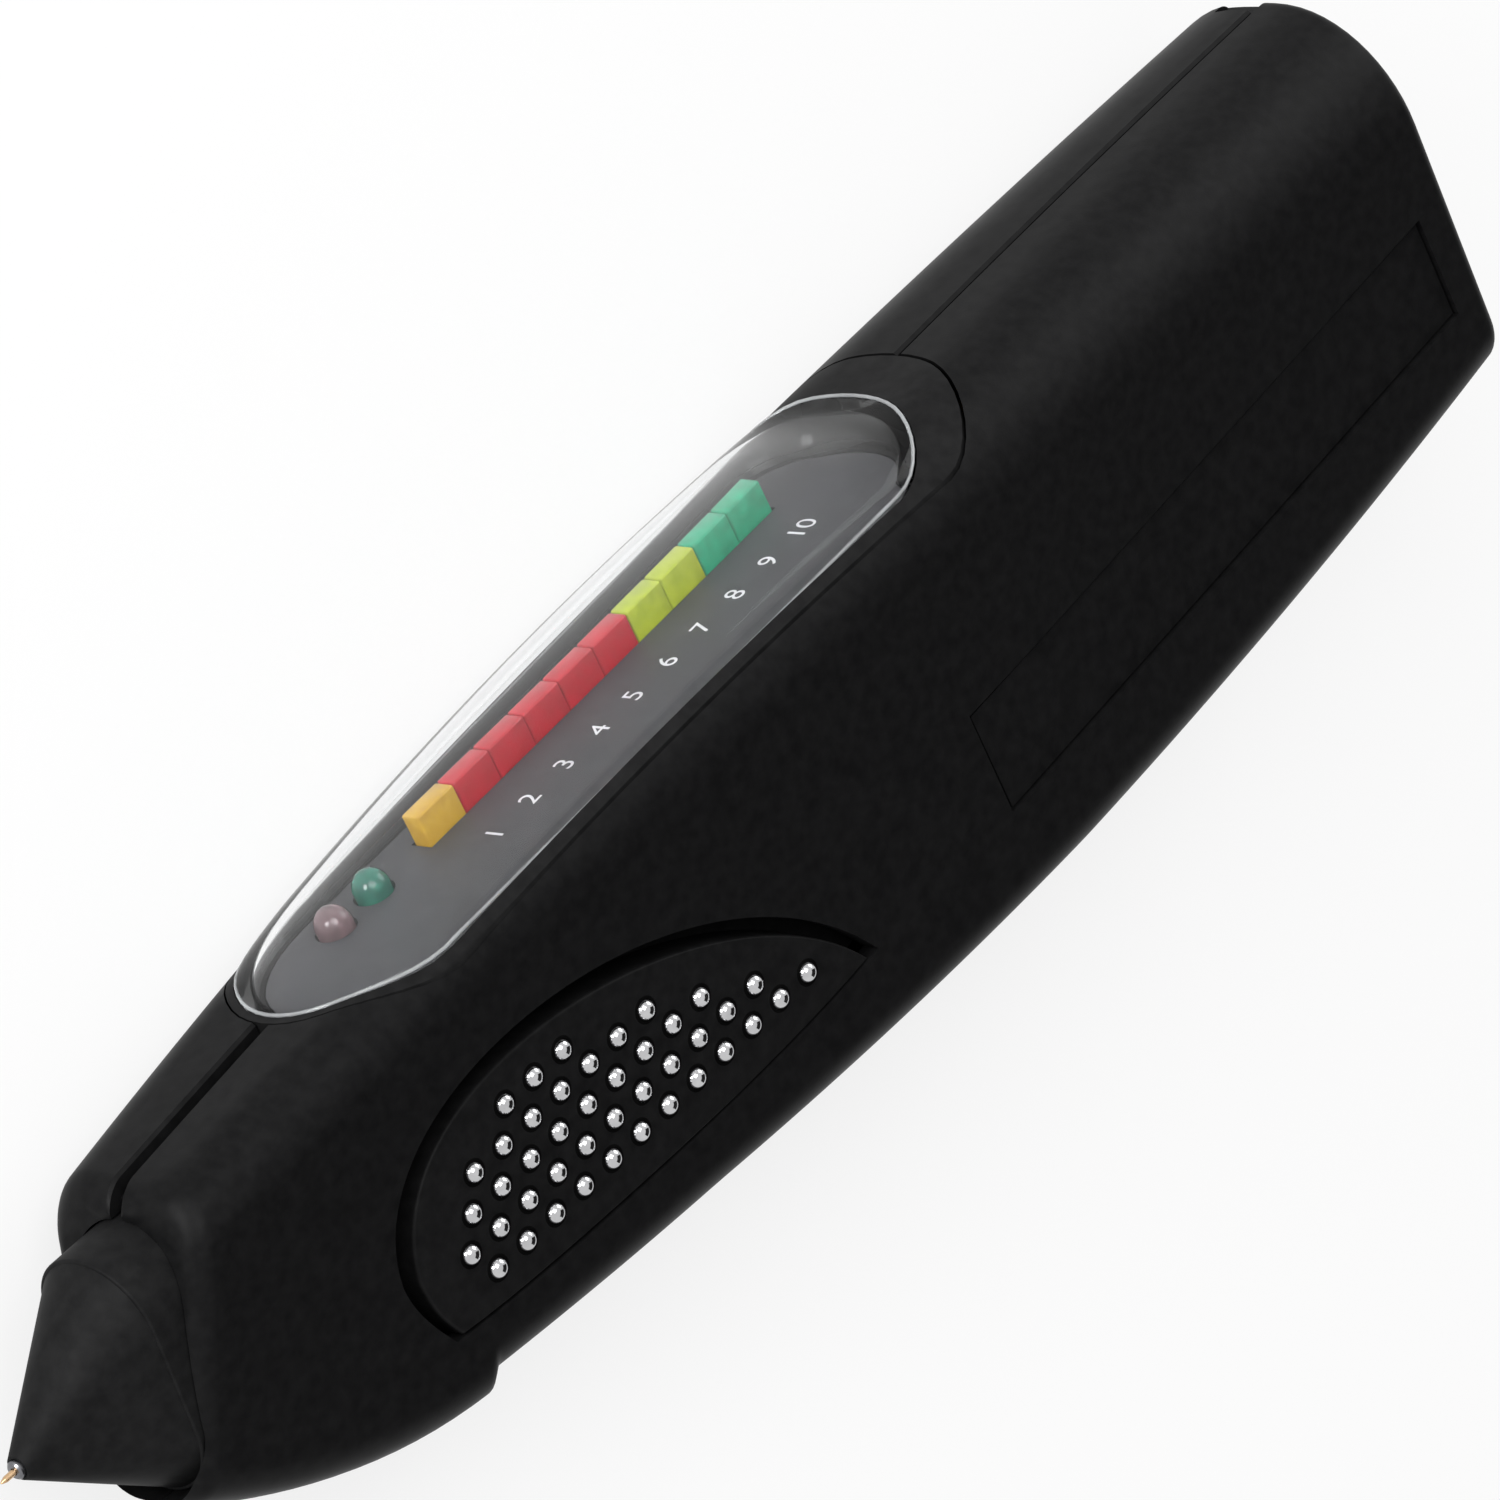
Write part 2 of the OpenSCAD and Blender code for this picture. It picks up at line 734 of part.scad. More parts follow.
module probe_carrier() {
    color(steel) placed() probe_frame() difference() {
        probe_rod(guide_bore - 2 * slide_fit, carrier_back, carrier_front);
        probe_rod(needle_d, carrier_front - needle_root, carrier_front + 1);
    }
}

module probe_guide() {
    color([0.75, 0.7, 0.6]) placed() probe_frame() difference() {
        probe_rod(guide_d, guide_front - guide_len, guide_front);
        probe_rod(guide_bore, guide_front - guide_len + guide_back, guide_front + 1);
    }
}

// Plain sleeve of the coil's outer size, its length at rest
module probe_spring() {
    color(steel) placed() probe_frame() difference() {
        probe_rod(spring_d, guide_front - guide_len + guide_back, carrier_back - needle_travel - 2 * slide_fit);
        probe_rod(spring_d - 2 * spring_wire, guide_front - guide_len, carrier_back);
    }
}

module battery_tray() {
    color(dark) placed() {
        translate([tray_x0, cover_y0 + tray_gap, tray_floor_z])
            cube([tray_x1 - tray_x0, cover_y1 - cover_y0 - 2 * tray_gap, tray_wall]);
        for (x = [tray_x0, tray_x1 - tray_wall])
            translate([x, cover_y0 + tray_gap, tray_low_z])
                cube([tray_wall, cover_y1 - cover_y0 - 2 * tray_gap, tray_floor_z - tray_low_z]);
    }
}

module battery_cells() {
    color([0.2, 0.35, 0.5]) placed() for (y = cell_y) translate([cell_x0, y, cell_z]) rotate([0, 90, 0]) {
        translate([0, 0, nub_len]) cylinder(d = cell_d, h = cell_len - nub_len);
        cylinder(d = nub_d, h = cell_len);
    }
}

module battery_springs() {
    color(steel) placed() for (y = cell_y)
        translate([cell_x0 + cell_len + fit, y, cell_z]) rotate([0, 90, 0])
            cylinder(d1 = cell_spring_d[0], d2 = cell_spring_d[1], h = tray_x1 - tray_wall - cell_x0 - cell_len - fit);
}

module battery_plates() {
    color(steel) placed() for (y = cell_y)
        translate([tray_x0 + tray_wall, y - plate_w / 2, cell_z - plate_w / 2]) cube([plate_t, plate_w, plate_w]);
}

module battery_cover() {
    color(black) placed() difference() {
        intersection() {
            cover_track(0);
            body_form(0);
        }
        for (i = [0 : pull_count - 1]) translate([pull_x + i * pull_pitch, pull_y, -half_t - 1])
            cube([pull_w, pull_len, 1 + pull_depth]);
    }
}

module switch_board() {
    color(green_board) placed() translate([switch_back_x, button_y - switch_board_w / 2, button_z - switch_board_low])
        cube([board_t, switch_board_w, switch_board_high]);
}

module power_switch() {
    color(dark) placed() translate([switch_back_x + board_t, button_y - switch_y / 2, button_z - switch_low])
        cube([switch_t, switch_y, switch_high]);
}

module power_button() {
    color([0.5, 0.08, 0.08]) placed() translate([0, button_y, button_z]) rotate([0, 90, 0]) {
        translate([0, 0, button_stem]) cylinder(d = button_d, h = button_end_x - button_stem);
        translate([0, 0, button_stem - button_flange_t]) cylinder(d = button_d + 2 * button_flange_rim, h = button_flange_t);
    }
}

module housing_screws() {
    color(steel) placed() for (p = screw_places) translate([p[0], p[1], -screw_back]) {
        translate([0, 0, -screw_head_t]) cylinder(d = screw_head_d, h = screw_head_t);
        cylinder(d = screw_d, h = 2 * screw_back - screw_short);
    }
}

right_housing();
left_housing();
lens_bezel();
display_lens();
display_panel();
amber_bar_led();
red_bar_leds();
lime_bar_leds();
green_bar_leds();
ready_led();
battery_led();
display_board();
board_header();
main_board();
controller_chip();
amplifier_chip();
buzzer();
grip_panel_right();
grip_panel_left();
contact_studs_right();
contact_studs_left();
contact_plate_right();
contact_plate_left();
nose_collar();
nose_cone();
tip_ring();
probe_needle();
probe_carrier();
probe_guide();
probe_spring();
battery_tray();
battery_cells();
battery_springs();
battery_plates();
battery_cover();
switch_board();
power_switch();
power_button();
housing_screws();
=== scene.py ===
# Hand-held gem tester: black half shells, domed readout, studded grips and a sprung needle tip.
from math import cos, pi, radians, sin, sqrt, tan
import bmesh
import bpy
from mathutils import Matrix, Vector


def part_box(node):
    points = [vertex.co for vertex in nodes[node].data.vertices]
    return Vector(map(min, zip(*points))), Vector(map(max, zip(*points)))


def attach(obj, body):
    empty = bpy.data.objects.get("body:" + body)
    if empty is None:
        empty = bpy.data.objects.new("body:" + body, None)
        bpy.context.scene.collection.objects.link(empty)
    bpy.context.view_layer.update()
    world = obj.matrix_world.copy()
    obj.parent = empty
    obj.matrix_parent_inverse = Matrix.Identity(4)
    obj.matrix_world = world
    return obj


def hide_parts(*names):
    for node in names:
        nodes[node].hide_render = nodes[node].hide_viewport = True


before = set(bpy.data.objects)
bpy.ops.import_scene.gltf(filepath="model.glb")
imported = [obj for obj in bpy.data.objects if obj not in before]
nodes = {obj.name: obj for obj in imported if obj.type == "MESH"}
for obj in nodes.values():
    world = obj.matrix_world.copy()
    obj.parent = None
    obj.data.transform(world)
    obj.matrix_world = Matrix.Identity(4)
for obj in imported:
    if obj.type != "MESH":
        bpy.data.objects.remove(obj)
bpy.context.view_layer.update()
scene = bpy.context.scene
mm = 0.001
print("frame loaded:", len(nodes), "nodes")

# Side drawing in mm: x from tip to tail, y to the readout, z to the right side.
# The corner of the main board ties the drawing to the frame.
drawing = dict(boardX=6, boardY=-27)
boardLow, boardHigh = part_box("main_board")
zero = Vector((boardLow.x - drawing["boardX"] * mm, boardLow.y - drawing["boardY"] * mm,
               (boardLow.z + boardHigh.z) / 2))
toFrame = Matrix.Translation(zero) @ Matrix.Scale(mm, 4)
flip = Matrix.Scale(-1, 4, (0, 0, 1))  # right side to left side
standUp = Matrix.Rotation(-pi / 2, 4, "X")  # turns a flat plan to face along y
sideways = Matrix.Rotation(-pi / 2, 4, "Y")  # turns a piece spun round x to lie along z

# Mesh helpers, all in drawing millimetres
meshing = dict(weld=1e-4, spinSteps=48, cutTop=40)


def quarterTurn(count):
    return [pi / 2 * i / count for i in range(count + 1)]


def keep(bm, name="tool", matrix=None):
    if matrix:
        bmesh.ops.transform(bm, matrix=matrix, verts=bm.verts)
    bmesh.ops.recalc_face_normals(bm, faces=bm.faces)
    mesh = bpy.data.meshes.new(name)
    bm.to_mesh(mesh)
    bm.free()
    obj = bpy.data.objects.new(name, mesh)
    scene.collection.objects.link(obj)
    return obj


def finalMesh(obj):
    bpy.context.view_layer.update()
    return bpy.data.meshes.new_from_object(
        obj.evaluated_get(bpy.context.evaluated_depsgraph_get()))


def combine(base, tool, operation="DIFFERENCE"):
    boolean = base.modifiers.new("combine", "BOOLEAN")
    boolean.object, boolean.operation, boolean.solver = tool, operation, "EXACT"
    made = finalMesh(base)
    base.modifiers.clear()
    base.data = made
    bpy.data.objects.remove(tool)
    return base


def addRing(bm, points):
    ring = [bm.verts.new(p) for p in points]
    return [bm.edges.new((ring[i - 1], ring[i])) for i in range(len(ring))]


def loft(bm, rings):
    loops = [addRing(bm, ring) for ring in rings]
    for one, two in zip(loops, loops[1:]):
        bmesh.ops.bridge_loops(bm, edges=one + two)
    ends = [bmesh.ops.edgeloop_fill(bm, edges=end)["faces"][0] for end in (loops[0], loops[-1])]
    bmesh.ops.triangulate(bm, faces=ends)


def prism(points, low, high, matrix=None):
    bm = bmesh.new()
    loft(bm, [[(x, y, level) for x, y in points] for level in (low, high)])
    return keep(bm, matrix=matrix)


def addBox(bm, low, high):
    low, high = Vector(low), Vector(high)
    place = Matrix.Translation((high + low) / 2) @ Matrix.Diagonal((*(high - low), 1))
    return bmesh.ops.create_cube(bm, size=1, matrix=place)["verts"]


def block(low, high, matrix=None):
    bm = bmesh.new()
    addBox(bm, low, high)
    return keep(bm, matrix=matrix)


def lathe(bm, profile, steps=meshing["spinSteps"], matrix=None):
    # Profile points are (along x, radius); they are spun round the x axis
    line = [bm.verts.new((x, r, 0)) for x, r in profile]
    edges = [bm.edges.new(pair) for pair in zip(line, line[1:])]
    bmesh.ops.spin(bm, geom=line + edges, cent=(0, 0, 0), axis=(1, 0, 0), angle=2 * pi,
                   steps=steps, use_merge=True)
    bmesh.ops.remove_doubles(bm, verts=bm.verts, dist=meshing["weld"])
    if matrix:
        bmesh.ops.transform(bm, matrix=matrix, verts=bm.verts)


def rod(x0, x1, radius, matrix=None):
    bm = bmesh.new()
    lathe(bm, [(x0, 0), (x0, radius), (x1, radius), (x1, 0)])
    return keep(bm, matrix=matrix)


def settle(obj, name, finish, carrier="tester", replaced=(), sharp=35):
    # Places a finished piece in the frame, on its body and with its finish
    obj.name = obj.data.name = name
    obj.data.transform(toFrame)
    obj.data.materials.clear()
    obj.data.materials.append(finishes[finish])
    obj.data.polygons.foreach_set("use_smooth", [True] * len(obj.data.polygons))
    obj.data.set_sharp_from_angle(angle=radians(sharp))
    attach(obj, carrier)
    if replaced:
        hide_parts(*replaced)
    print("made", name, len(obj.data.polygons), "faces")


# Finishes
finishes, slotNames = {}, {}
surface = dict(mottle=900, gloss=260, grain=7000, grainDeep=0.15, grainHigh=0.00004,
               detail=3.0, grainDetail=1.0)


def startFinish(name, slot):
    material = bpy.data.materials.new(name)
    material.use_nodes = True
    tree = material.node_tree
    place = tree.nodes.new("ShaderNodeTexCoord")
    finishes[name], slotNames[name] = material, slot
    return tree, tree.nodes["Principled BSDF"], place.outputs["Object"]


def addNoise(tree, place, scale, detail=surface["detail"]):
    noise = tree.nodes.new("ShaderNodeTexNoise")
    noise.inputs["Scale"].default_value = scale
    noise.inputs["Detail"].default_value = detail
    tree.links.new(place, noise.inputs["Vector"])
    return noise.outputs["Fac"]


def tint(tree, value, low, high, lowAt=0.3, highAt=0.7):
    ramp = tree.nodes.new("ShaderNodeValToRGB")
    first, last = ramp.color_ramp.elements
    first.position, last.position = lowAt, highAt
    first.color, last.color = (*low, 1), (*high, 1)
    tree.links.new(value, ramp.inputs["Fac"])
    return ramp.outputs["Color"]


def spread(tree, value, low, high):
    lane = tree.nodes.new("ShaderNodeMapRange")
    lane.inputs["To Min"].default_value, lane.inputs["To Max"].default_value = low, high
    tree.links.new(value, lane.inputs["Value"])
    return lane.outputs["Result"]


def addGrain(tree, shader, value, strength):
    bump = tree.nodes.new("ShaderNodeBump")
    bump.inputs["Strength"].default_value = strength
    bump.inputs["Distance"].default_value = surface["grainHigh"]
    tree.links.new(value, bump.inputs["Height"])
    tree.links.new(bump.outputs["Normal"], shader.inputs["Normal"])


def moulded(name, slot, low, high, rough, grain=surface["grain"],
            grainDeep=surface["grainDeep"], **sockets):
    # Plastic or metal with a mottled tone, uneven gloss and a fine moulded grain
    tree, shader, place = startFinish(name, slot)
    mottle = addNoise(tree, place, surface["mottle"])
    tree.links.new(tint(tree, mottle, low, high), shader.inputs["Base Color"])
    gloss = addNoise(tree, place, surface["gloss"])
    tree.links.new(spread(tree, gloss, *rough), shader.inputs["Roughness"])
    addGrain(tree, shader, addNoise(tree, place, grain, surface["grainDetail"]), grainDeep)
    for socket, value in sockets.items():
        shader.inputs[socket.replace("_", " ")].default_value = value


# Slot, darker and paler tone, roughness range, and what differs from plain plastic
plain, metal = {}, dict(Metallic=1.0)
dull, blackest = dict(Specular_IOR_Level=0.05), dict(Specular_IOR_Level=0.02)
resin, lampGlass = dict(grain=2500, grainDeep=0.05), dict(grain=2500, grainDeep=0.04)
tones = {
    "blackShell": ("shell_plastic", (0.0040, 0.0040, 0.0042), (0.0070, 0.0070, 0.0072),
                   (0.36, 0.46), dull),
    "blackGrip": ("grip_plastic", (0.0045, 0.0045, 0.0047), (0.0078, 0.0078, 0.0080),
                  (0.40, 0.50), dull),
    "matteBlack": ("matte_plastic", (0.0060, 0.0060, 0.0062), (0.0100, 0.0100, 0.0102),
                   (0.46, 0.58), dull),
    # painted shade: near-black rings round the studs stand for the shadow gap at their feet
    "shadeRingBlack": ("grip_plastic", (0.0010, 0.0010, 0.0010), (0.0020, 0.0020, 0.0020),
                  (0.6, 0.7), blackest),
    "panelGrey": ("panel_grey", (0.046, 0.046, 0.049), (0.058, 0.058, 0.062), (0.5, 0.62), plain),
    "printWhite": ("panel_grey", (0.62, 0.62, 0.64), (0.72, 0.72, 0.74), (0.45, 0.55), plain),
    "amberResin": ("amber_resin", (0.50, 0.28, 0.010), (0.62, 0.37, 0.020), (0.16, 0.24), resin),
    "redResin": ("red_resin", (0.40, 0.003, 0.012), (0.50, 0.006, 0.020), (0.16, 0.24), resin),
    "limeResin": ("lime_resin", (0.34, 0.42, 0.008), (0.44, 0.52, 0.016), (0.16, 0.24), resin),
    "greenResin": ("green_resin", (0.003, 0.28, 0.14), (0.008, 0.38, 0.20), (0.16, 0.24), resin),
    "lampGreen": ("green_resin", (0.012, 0.10, 0.075), (0.02, 0.16, 0.11), (0.08, 0.14), lampGlass),
    "lampRose": ("rose_resin", (0.12, 0.08, 0.085), (0.18, 0.11, 0.12), (0.08, 0.14), lampGlass),
    "boardGreen": ("circuit_board", (0.012, 0.10, 0.035), (0.020, 0.15, 0.055), (0.3, 0.42), plain),
    "darkMoulding": ("dark_moulding", (0.012, 0.012, 0.012), (0.020, 0.020, 0.021),
                     (0.45, 0.6), plain),
    "chrome": ("chrome", (0.46, 0.46, 0.47), (0.56, 0.56, 0.57), (0.06, 0.12),
               dict(metal, grain=2500, grainDeep=0.03)),
    "tipSteel": ("chrome", (0.16, 0.16, 0.17), (0.24, 0.24, 0.25), (0.24, 0.34),
                 dict(metal, **resin)),
    "springSteel": ("spring_steel", (0.48, 0.48, 0.50), (0.60, 0.60, 0.62), (0.22, 0.34), metal),
    "needleCopper": ("probe_metal", (0.55, 0.36, 0.20), (0.66, 0.46, 0.28), (0.20, 0.30), metal),
    "guideBrass": ("guide_brass", (0.55, 0.42, 0.16), (0.66, 0.52, 0.22), (0.22, 0.32), metal),
    "buttonRed": ("button_red", (0.22, 0.012, 0.012), (0.30, 0.02, 0.02), (0.34, 0.44), plain),
}
for name, (slot, low, high, rough, extra) in tones.items():
    moulded(name, slot, low, high, rough, **extra)

# Clear plastic of the dome, and of the glossy bead round its edge whose pale grey tone is a painted
# highlight line
clears = {
    "clearDome": dict(tone=160, gloss=400, low=(0.955, 0.965, 0.97), high=(0.975, 0.98, 0.985),
                      rough=(0.0, 0.02), sockets={"Transmission Weight": 1.0, "IOR": 1.22}),
    # pale grey, part see-through: painted highlight line along the lens edge
    "highlightBead": dict(tone=260, gloss=400, low=(0.40, 0.41, 0.42), high=(0.56, 0.58, 0.59),
                      rough=(0.04, 0.10), sockets={"Transmission Weight": 0.55}),
}
for name, clear in clears.items():
    tree, shader, place = startFinish(name, "clear_plastic")
    tone = tint(tree, addNoise(tree, place, clear["tone"]), clear["low"], clear["high"])
    tree.links.new(tone, shader.inputs["Base Color"])
    gloss = spread(tree, addNoise(tree, place, clear["gloss"]), *clear["rough"])
    tree.links.new(gloss, shader.inputs["Roughness"])
    for socket, value in clear["sockets"].items():
        shader.inputs[socket].default_value = value

# Wrapped cell: bare ends, a copper band and a dark wrap behind it
cell = dict(bare=(0.6, 0.6, 0.62, 1), band=(0.52, 0.26, 0.06, 1), wrap=(0.02, 0.03, 0.06, 1),
            bandAt=0.03, wrapAt=0.30, endAt=0.985, gloss=300, rough=(0.18, 0.3), metallic=0.4)


def cellFinish():
    tree, shader, place = startFinish("cellWrap", "cell_wrap")
    split = tree.nodes.new("ShaderNodeSeparateXYZ")
    tree.links.new(place, split.inputs["Vector"])
    low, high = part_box("battery_cells")
    lane = tree.nodes.new("ShaderNodeMapRange")
    lane.inputs["From Min"].default_value, lane.inputs["From Max"].default_value = low.x, high.x
    tree.links.new(split.outputs["X"], lane.inputs["Value"])
    ramp = tree.nodes.new("ShaderNodeValToRGB")
    ramp.color_ramp.interpolation = "CONSTANT"
    bands = ramp.color_ramp.elements
    bands[0].color = cell["bare"]
    bands[1].position, bands[1].color = cell["bandAt"], cell["band"]
    bands.new(cell["wrapAt"]).color = cell["wrap"]
    bands.new(cell["endAt"]).color = cell["bare"]
    tree.links.new(lane.outputs["Result"], ramp.inputs["Fac"])
    tree.links.new(ramp.outputs["Color"], shader.inputs["Base Color"])
    gloss = spread(tree, addNoise(tree, place, cell["gloss"]), *cell["rough"])
    tree.links.new(gloss, shader.inputs["Roughness"])
    shader.inputs["Metallic"].default_value = cell["metallic"]


cellFinish()
print("finishes ready:", len(finishes))

# Body form
body = dict(
    frontX=-20, frontY=-4, frontLean=23.7, frontRound=1.6, frontCrown=1.6, uprightX=12,
    tailX=132.3, tailLean=0, tailRound=1.2, tailCrown=1.2,
    halfT=12.2, noseHalf=7.7, taperX=70, draft=1.35, draftRun=45,
    topHigh=1.9, topMid=88, topR=1650, bellyLow=35.99, bellyMid=62, bellyR=636,
    stepX=-1.4, stepRun=1.6, stepHigh=1.4, noseSlope=0.108, noseCurve=0.0116,
    fillets=((12, 4.5), (60, 7.6), (131, 10.8)), bellyFillet=4, leastFillet=0.8, wall=1.6)
bodyMesh = dict(top=5, brow=14, side=12, keel=10, belly=5, leanRounds=5, endTurns=8,
                leastRound=0.4, pitch=1.4, finePitch=0.35, fineFrom=0, fineTo=6, lastGap=1.6)
seam = dict(half=0.06, wide=0.6, thin=0.14, deep=1.4, wideEnd=1.0, fade=2,
            topSoft=0.25, bellySoft=0.15, clear=0.27, fan=0.02)


def topY(x):
    return body["topHigh"] - (x - body["topMid"]) ** 2 / (2 * body["topR"])


def bellyArc(x):
    return -body["bellyLow"] + (x - body["bellyMid"]) ** 2 / (2 * body["bellyR"])


def bellyY(x):
    run = body["stepX"] - x
    nose = (bellyArc(body["stepX"]) - body["stepHigh"] + body["noseSlope"] * run
            + body["noseCurve"] * run * abs(run))
    if run >= 0:
        return nose
    u = min(1, -run / body["stepRun"])
    lift = u * u * (3 - 2 * u)
    return nose * (1 - lift) + bellyArc(x) * lift


def halfThick(x):
    fall = max(0, body["taperX"] - x) / (body["taperX"] - body["frontX"])
    return body["halfT"] - (body["halfT"] - body["noseHalf"]) * fall ** 2


def browFillet(x):
    found = body["fillets"][0][1]
    for (x0, r0), (x1, r1) in zip(body["fillets"], body["fillets"][1:]):
        if x > x0:
            found = r0 + (r1 - r0) * min(1, (x - x0) / (x1 - x0))
    return found


def draftAt(x):
    return body["draft"] * min(1, max(0, (body["taperX"] - x) / body["draftRun"]))


def skinY(x, z):
    # Height of the top skin, over its brow too
    r = browFillet(x)
    d = max(0, abs(z) - halfThick(x) + r)
    return topY(x) - r + sqrt(max(0, r * r - d * d))


def shares(part, first, past):
    count = bodyMesh[part]
    return [(part, i / count) for i in range(first, count + past)]


# The half outline runs from the seam on the top, over the brow and down the side, to the belly
outline = (shares("top", 1, 0) + shares("brow", 0, 1) + shares("side", 1, 0)
           + shares("keel", 0, 1) + shares("belly", 1, 0))


def outlinePoint(x, part, u, draw):
    thick, high, low = halfThick(x) - draw, topY(x) - draw, bellyY(x) + draw
    brow = max(browFillet(x) - draw, body["leastFillet"])
    keel = max(body["bellyFillet"] - draw, body["leastFillet"])
    if part == "top":
        return (thick - brow) * u, high
    if part == "brow":
        return thick - brow + brow * sin(pi / 2 * u), high - brow + brow * cos(pi / 2 * u)
    if part == "side":
        return thick - draftAt(x) * u, (high - brow) * (1 - u) + (low + keel) * u
    thick -= draftAt(x)
    if part == "keel":
        return thick - keel + keel * cos(pi / 2 * u), low + keel - keel * sin(pi / 2 * u)
    return (thick - keel) * (1 - u), low


def leanShift(xs, y, z):
    # How far a station's point moves along x, by the lean and the crown of the two ends
    front = (body["uprightX"] - xs) / (body["uprightX"] - body["frontX"])
    tail = (xs - body["taperX"]) / (body["tailX"] - body["taperX"])
    front, tail = min(1, max(0, front)), min(1, max(0, tail))
    crown = (body["frontCrown"] * front - body["tailCrown"] * tail) * (z / body["halfT"]) ** 2
    return ((y - body["frontY"]) * tan(radians(body["frontLean"] * front))
            - y * tan(radians(body["tailLean"] * tail)) + crown)


def bodyPoint(xs, part, u, draw):
    x = xs
    for _ in range(bodyMesh["leanRounds"]):
        z, y = outlinePoint(x, part, u, draw)
        x = xs + leanShift(xs, y, z)
    return Vector((x, y, z))


def bodyStations(draw):
    # (station, draw-in) pairs, rounded over at both ends
    front = body["frontX"] + draw / cos(radians(body["frontLean"]))
    tail = body["tailX"] - draw / cos(radians(body["tailLean"]))
    noseR = max(body["frontRound"] - draw, bodyMesh["leastRound"])
    tailR = max(body["tailRound"] - draw, bodyMesh["leastRound"])
    turns = quarterTurn(bodyMesh["endTurns"])
    found = [(front + noseR * (1 - cos(a)), draw + noseR * (1 - sin(a))) for a in turns]
    x = found[-1][0]
    while x < tail - tailR - bodyMesh["lastGap"]:
        fine = bodyMesh["fineFrom"] < x < bodyMesh["fineTo"]
        x += bodyMesh["finePitch"] if fine else bodyMesh["pitch"]
        found.append((x, draw))
    return found + [(tail - tailR * (1 - cos(a)), draw + tailR * (1 - sin(a)))
                    for a in reversed(turns)]


def bodySolid(draw):
    bm = bmesh.new()
    rings = []
    for xs, inset in bodyStations(draw):
        right = [bodyPoint(xs, part, u, inset) for part, u in outline]
        rings.append(right + [p * Vector((1, 1, -1)) for p in reversed(right)])
    loft(bm, rings)
    return keep(bm)


def seamHalf(x):
    u = min(1, max(0, (x - seam["wideEnd"] + seam["fade"] / 2) / seam["fade"]))
    return seam["wide"] * (1 - u) + seam["thin"] * u


def bodyHalf():
    # Right half with a rebate along the seam, wide on the nose and thin behind the window
    bm = bmesh.new()
    rings = []
    deep, flat, under = seam["deep"], seam["half"], seam["thin"]
    for xs, inset in bodyStations(0):
        right = [bodyPoint(xs, part, u, inset) for part, u in outline]
        wide = seamHalf(right[0].x)
        for i, point in enumerate(right[:bodyMesh["top"] - 1]):
            point.z = max(point.z, wide + seam["clear"] + seam["fan"] * i)
        x, y = right[0].xy
        soft = seam["topSoft"]
        lead = [(x, y - deep, flat), (x, y - deep, wide), (x, y - soft, wide), (x, y, wide + soft)]
        x, y = right[-1].xy
        soft = seam["bellySoft"]
        end = [(x, y, under + soft), (x, y + soft, under), (x, y + deep, under),
               (x, y + deep, flat)]
        rings.append([Vector(p) for p in lead] + right + [Vector(p) for p in end])
    loft(bm, rings)
    return keep(bm)


# Readout window
window = dict(long=75.5, half=9, widen=0.12, frontRun=12, foot=-2.4, ledge=1.6, fit=0.15,
              panelThick=1.2, bezelLow=-5.5, bezelTop=30, bezelRim=0.8, bezelRear=4.5, bezelRoom=1,
              wellRim=1, wellLow=-20, domeHigh=3.675, domeMid=38, domeTilt=0.65, domeBow=2.7,
              domeWall=1.2, bead=0.16, planPower=0.8, sectionPower=1.05)
windowMesh = dict(planSteps=24, domeSteps=48, endSteps=20, midSteps=24, leastWide=0.03,
                  beadSides=10)


def windowPlan(grow, rear=0):
    run, half = window["frontRun"] + grow, window["half"] + grow
    centre = window["long"] - window["half"] + rear
    steps = windowMesh["planSteps"]
    turns = [pi * (i / steps - 0.5) for i in range(steps + 1)]
    front = [(-grow + run - run * cos(a), half * sin(a)) for a in turns]
    wide = (1 + window["widen"]) * half
    back = [(centre + half * cos(a), wide * sin(a)) for a in reversed(turns)]
    return front + back


def widening(x):
    run, end = window["frontRun"], window["long"] - window["half"]
    return 1 + window["widen"] * min(1, max(0, (x - run) / (end - run)))


def windowPrism(grow, low, high=meshing["cutTop"], rear=0):
    return prism([(x, -z) for x, z in windowPlan(grow, rear)], low, high, standUp)


def domeRing(x, inset):
    run, half = window["frontRun"] - inset, window["half"] - inset
    front, back = inset, window["long"] - inset
    if x < front + run:
        wide = half * sqrt(max(0, 1 - ((front + run - x) / run) ** 2))
    elif x > back - half:
        wide = half * sqrt(max(0, 1 - ((x - back + half) / half) ** 2))
    else:
        wide = half
    k = max(wide, windowMesh["leastWide"]) / half
    wide = half * k * widening(x)
    foot, edge = window["foot"] - inset, skinY(x, wide) - inset
    u = (x - window["domeMid"]) / window["domeMid"]
    crown = window["domeHigh"] + window["domeTilt"] * u - window["domeBow"] * u * u - inset
    rise = (crown - edge) * k ** window["planPower"]
    steps = windowMesh["domeSteps"]
    arc = [pi * i / steps for i in range(steps + 1)]
    power = window["sectionPower"]
    return ([(x, edge + rise * max(0, sin(a)) ** power, -wide * cos(a)) for a in arc]
            + [(x, foot, wide), (x, foot, -wide)])


def dome(inset):
    run, half = window["frontRun"] - inset, window["half"] - inset
    turns, count = quarterTurn(windowMesh["endSteps"]), windowMesh["midSteps"]
    stations = [inset + run * (1 - cos(a)) for a in turns]
    start, rear = stations[-1], window["long"] - inset - half
    stations += [start + (rear - start) * i / count for i in range(1, count)]
    stations += [rear + half * sin(a) for a in turns]
    bm = bmesh.new()
    loft(bm, [domeRing(x, inset) for x in stations])
    return keep(bm)


lens = combine(dome(0), dome(window["domeWall"]))
settle(lens, "readoutDome", "clearDome", replaced=["display_lens"], sharp=50)


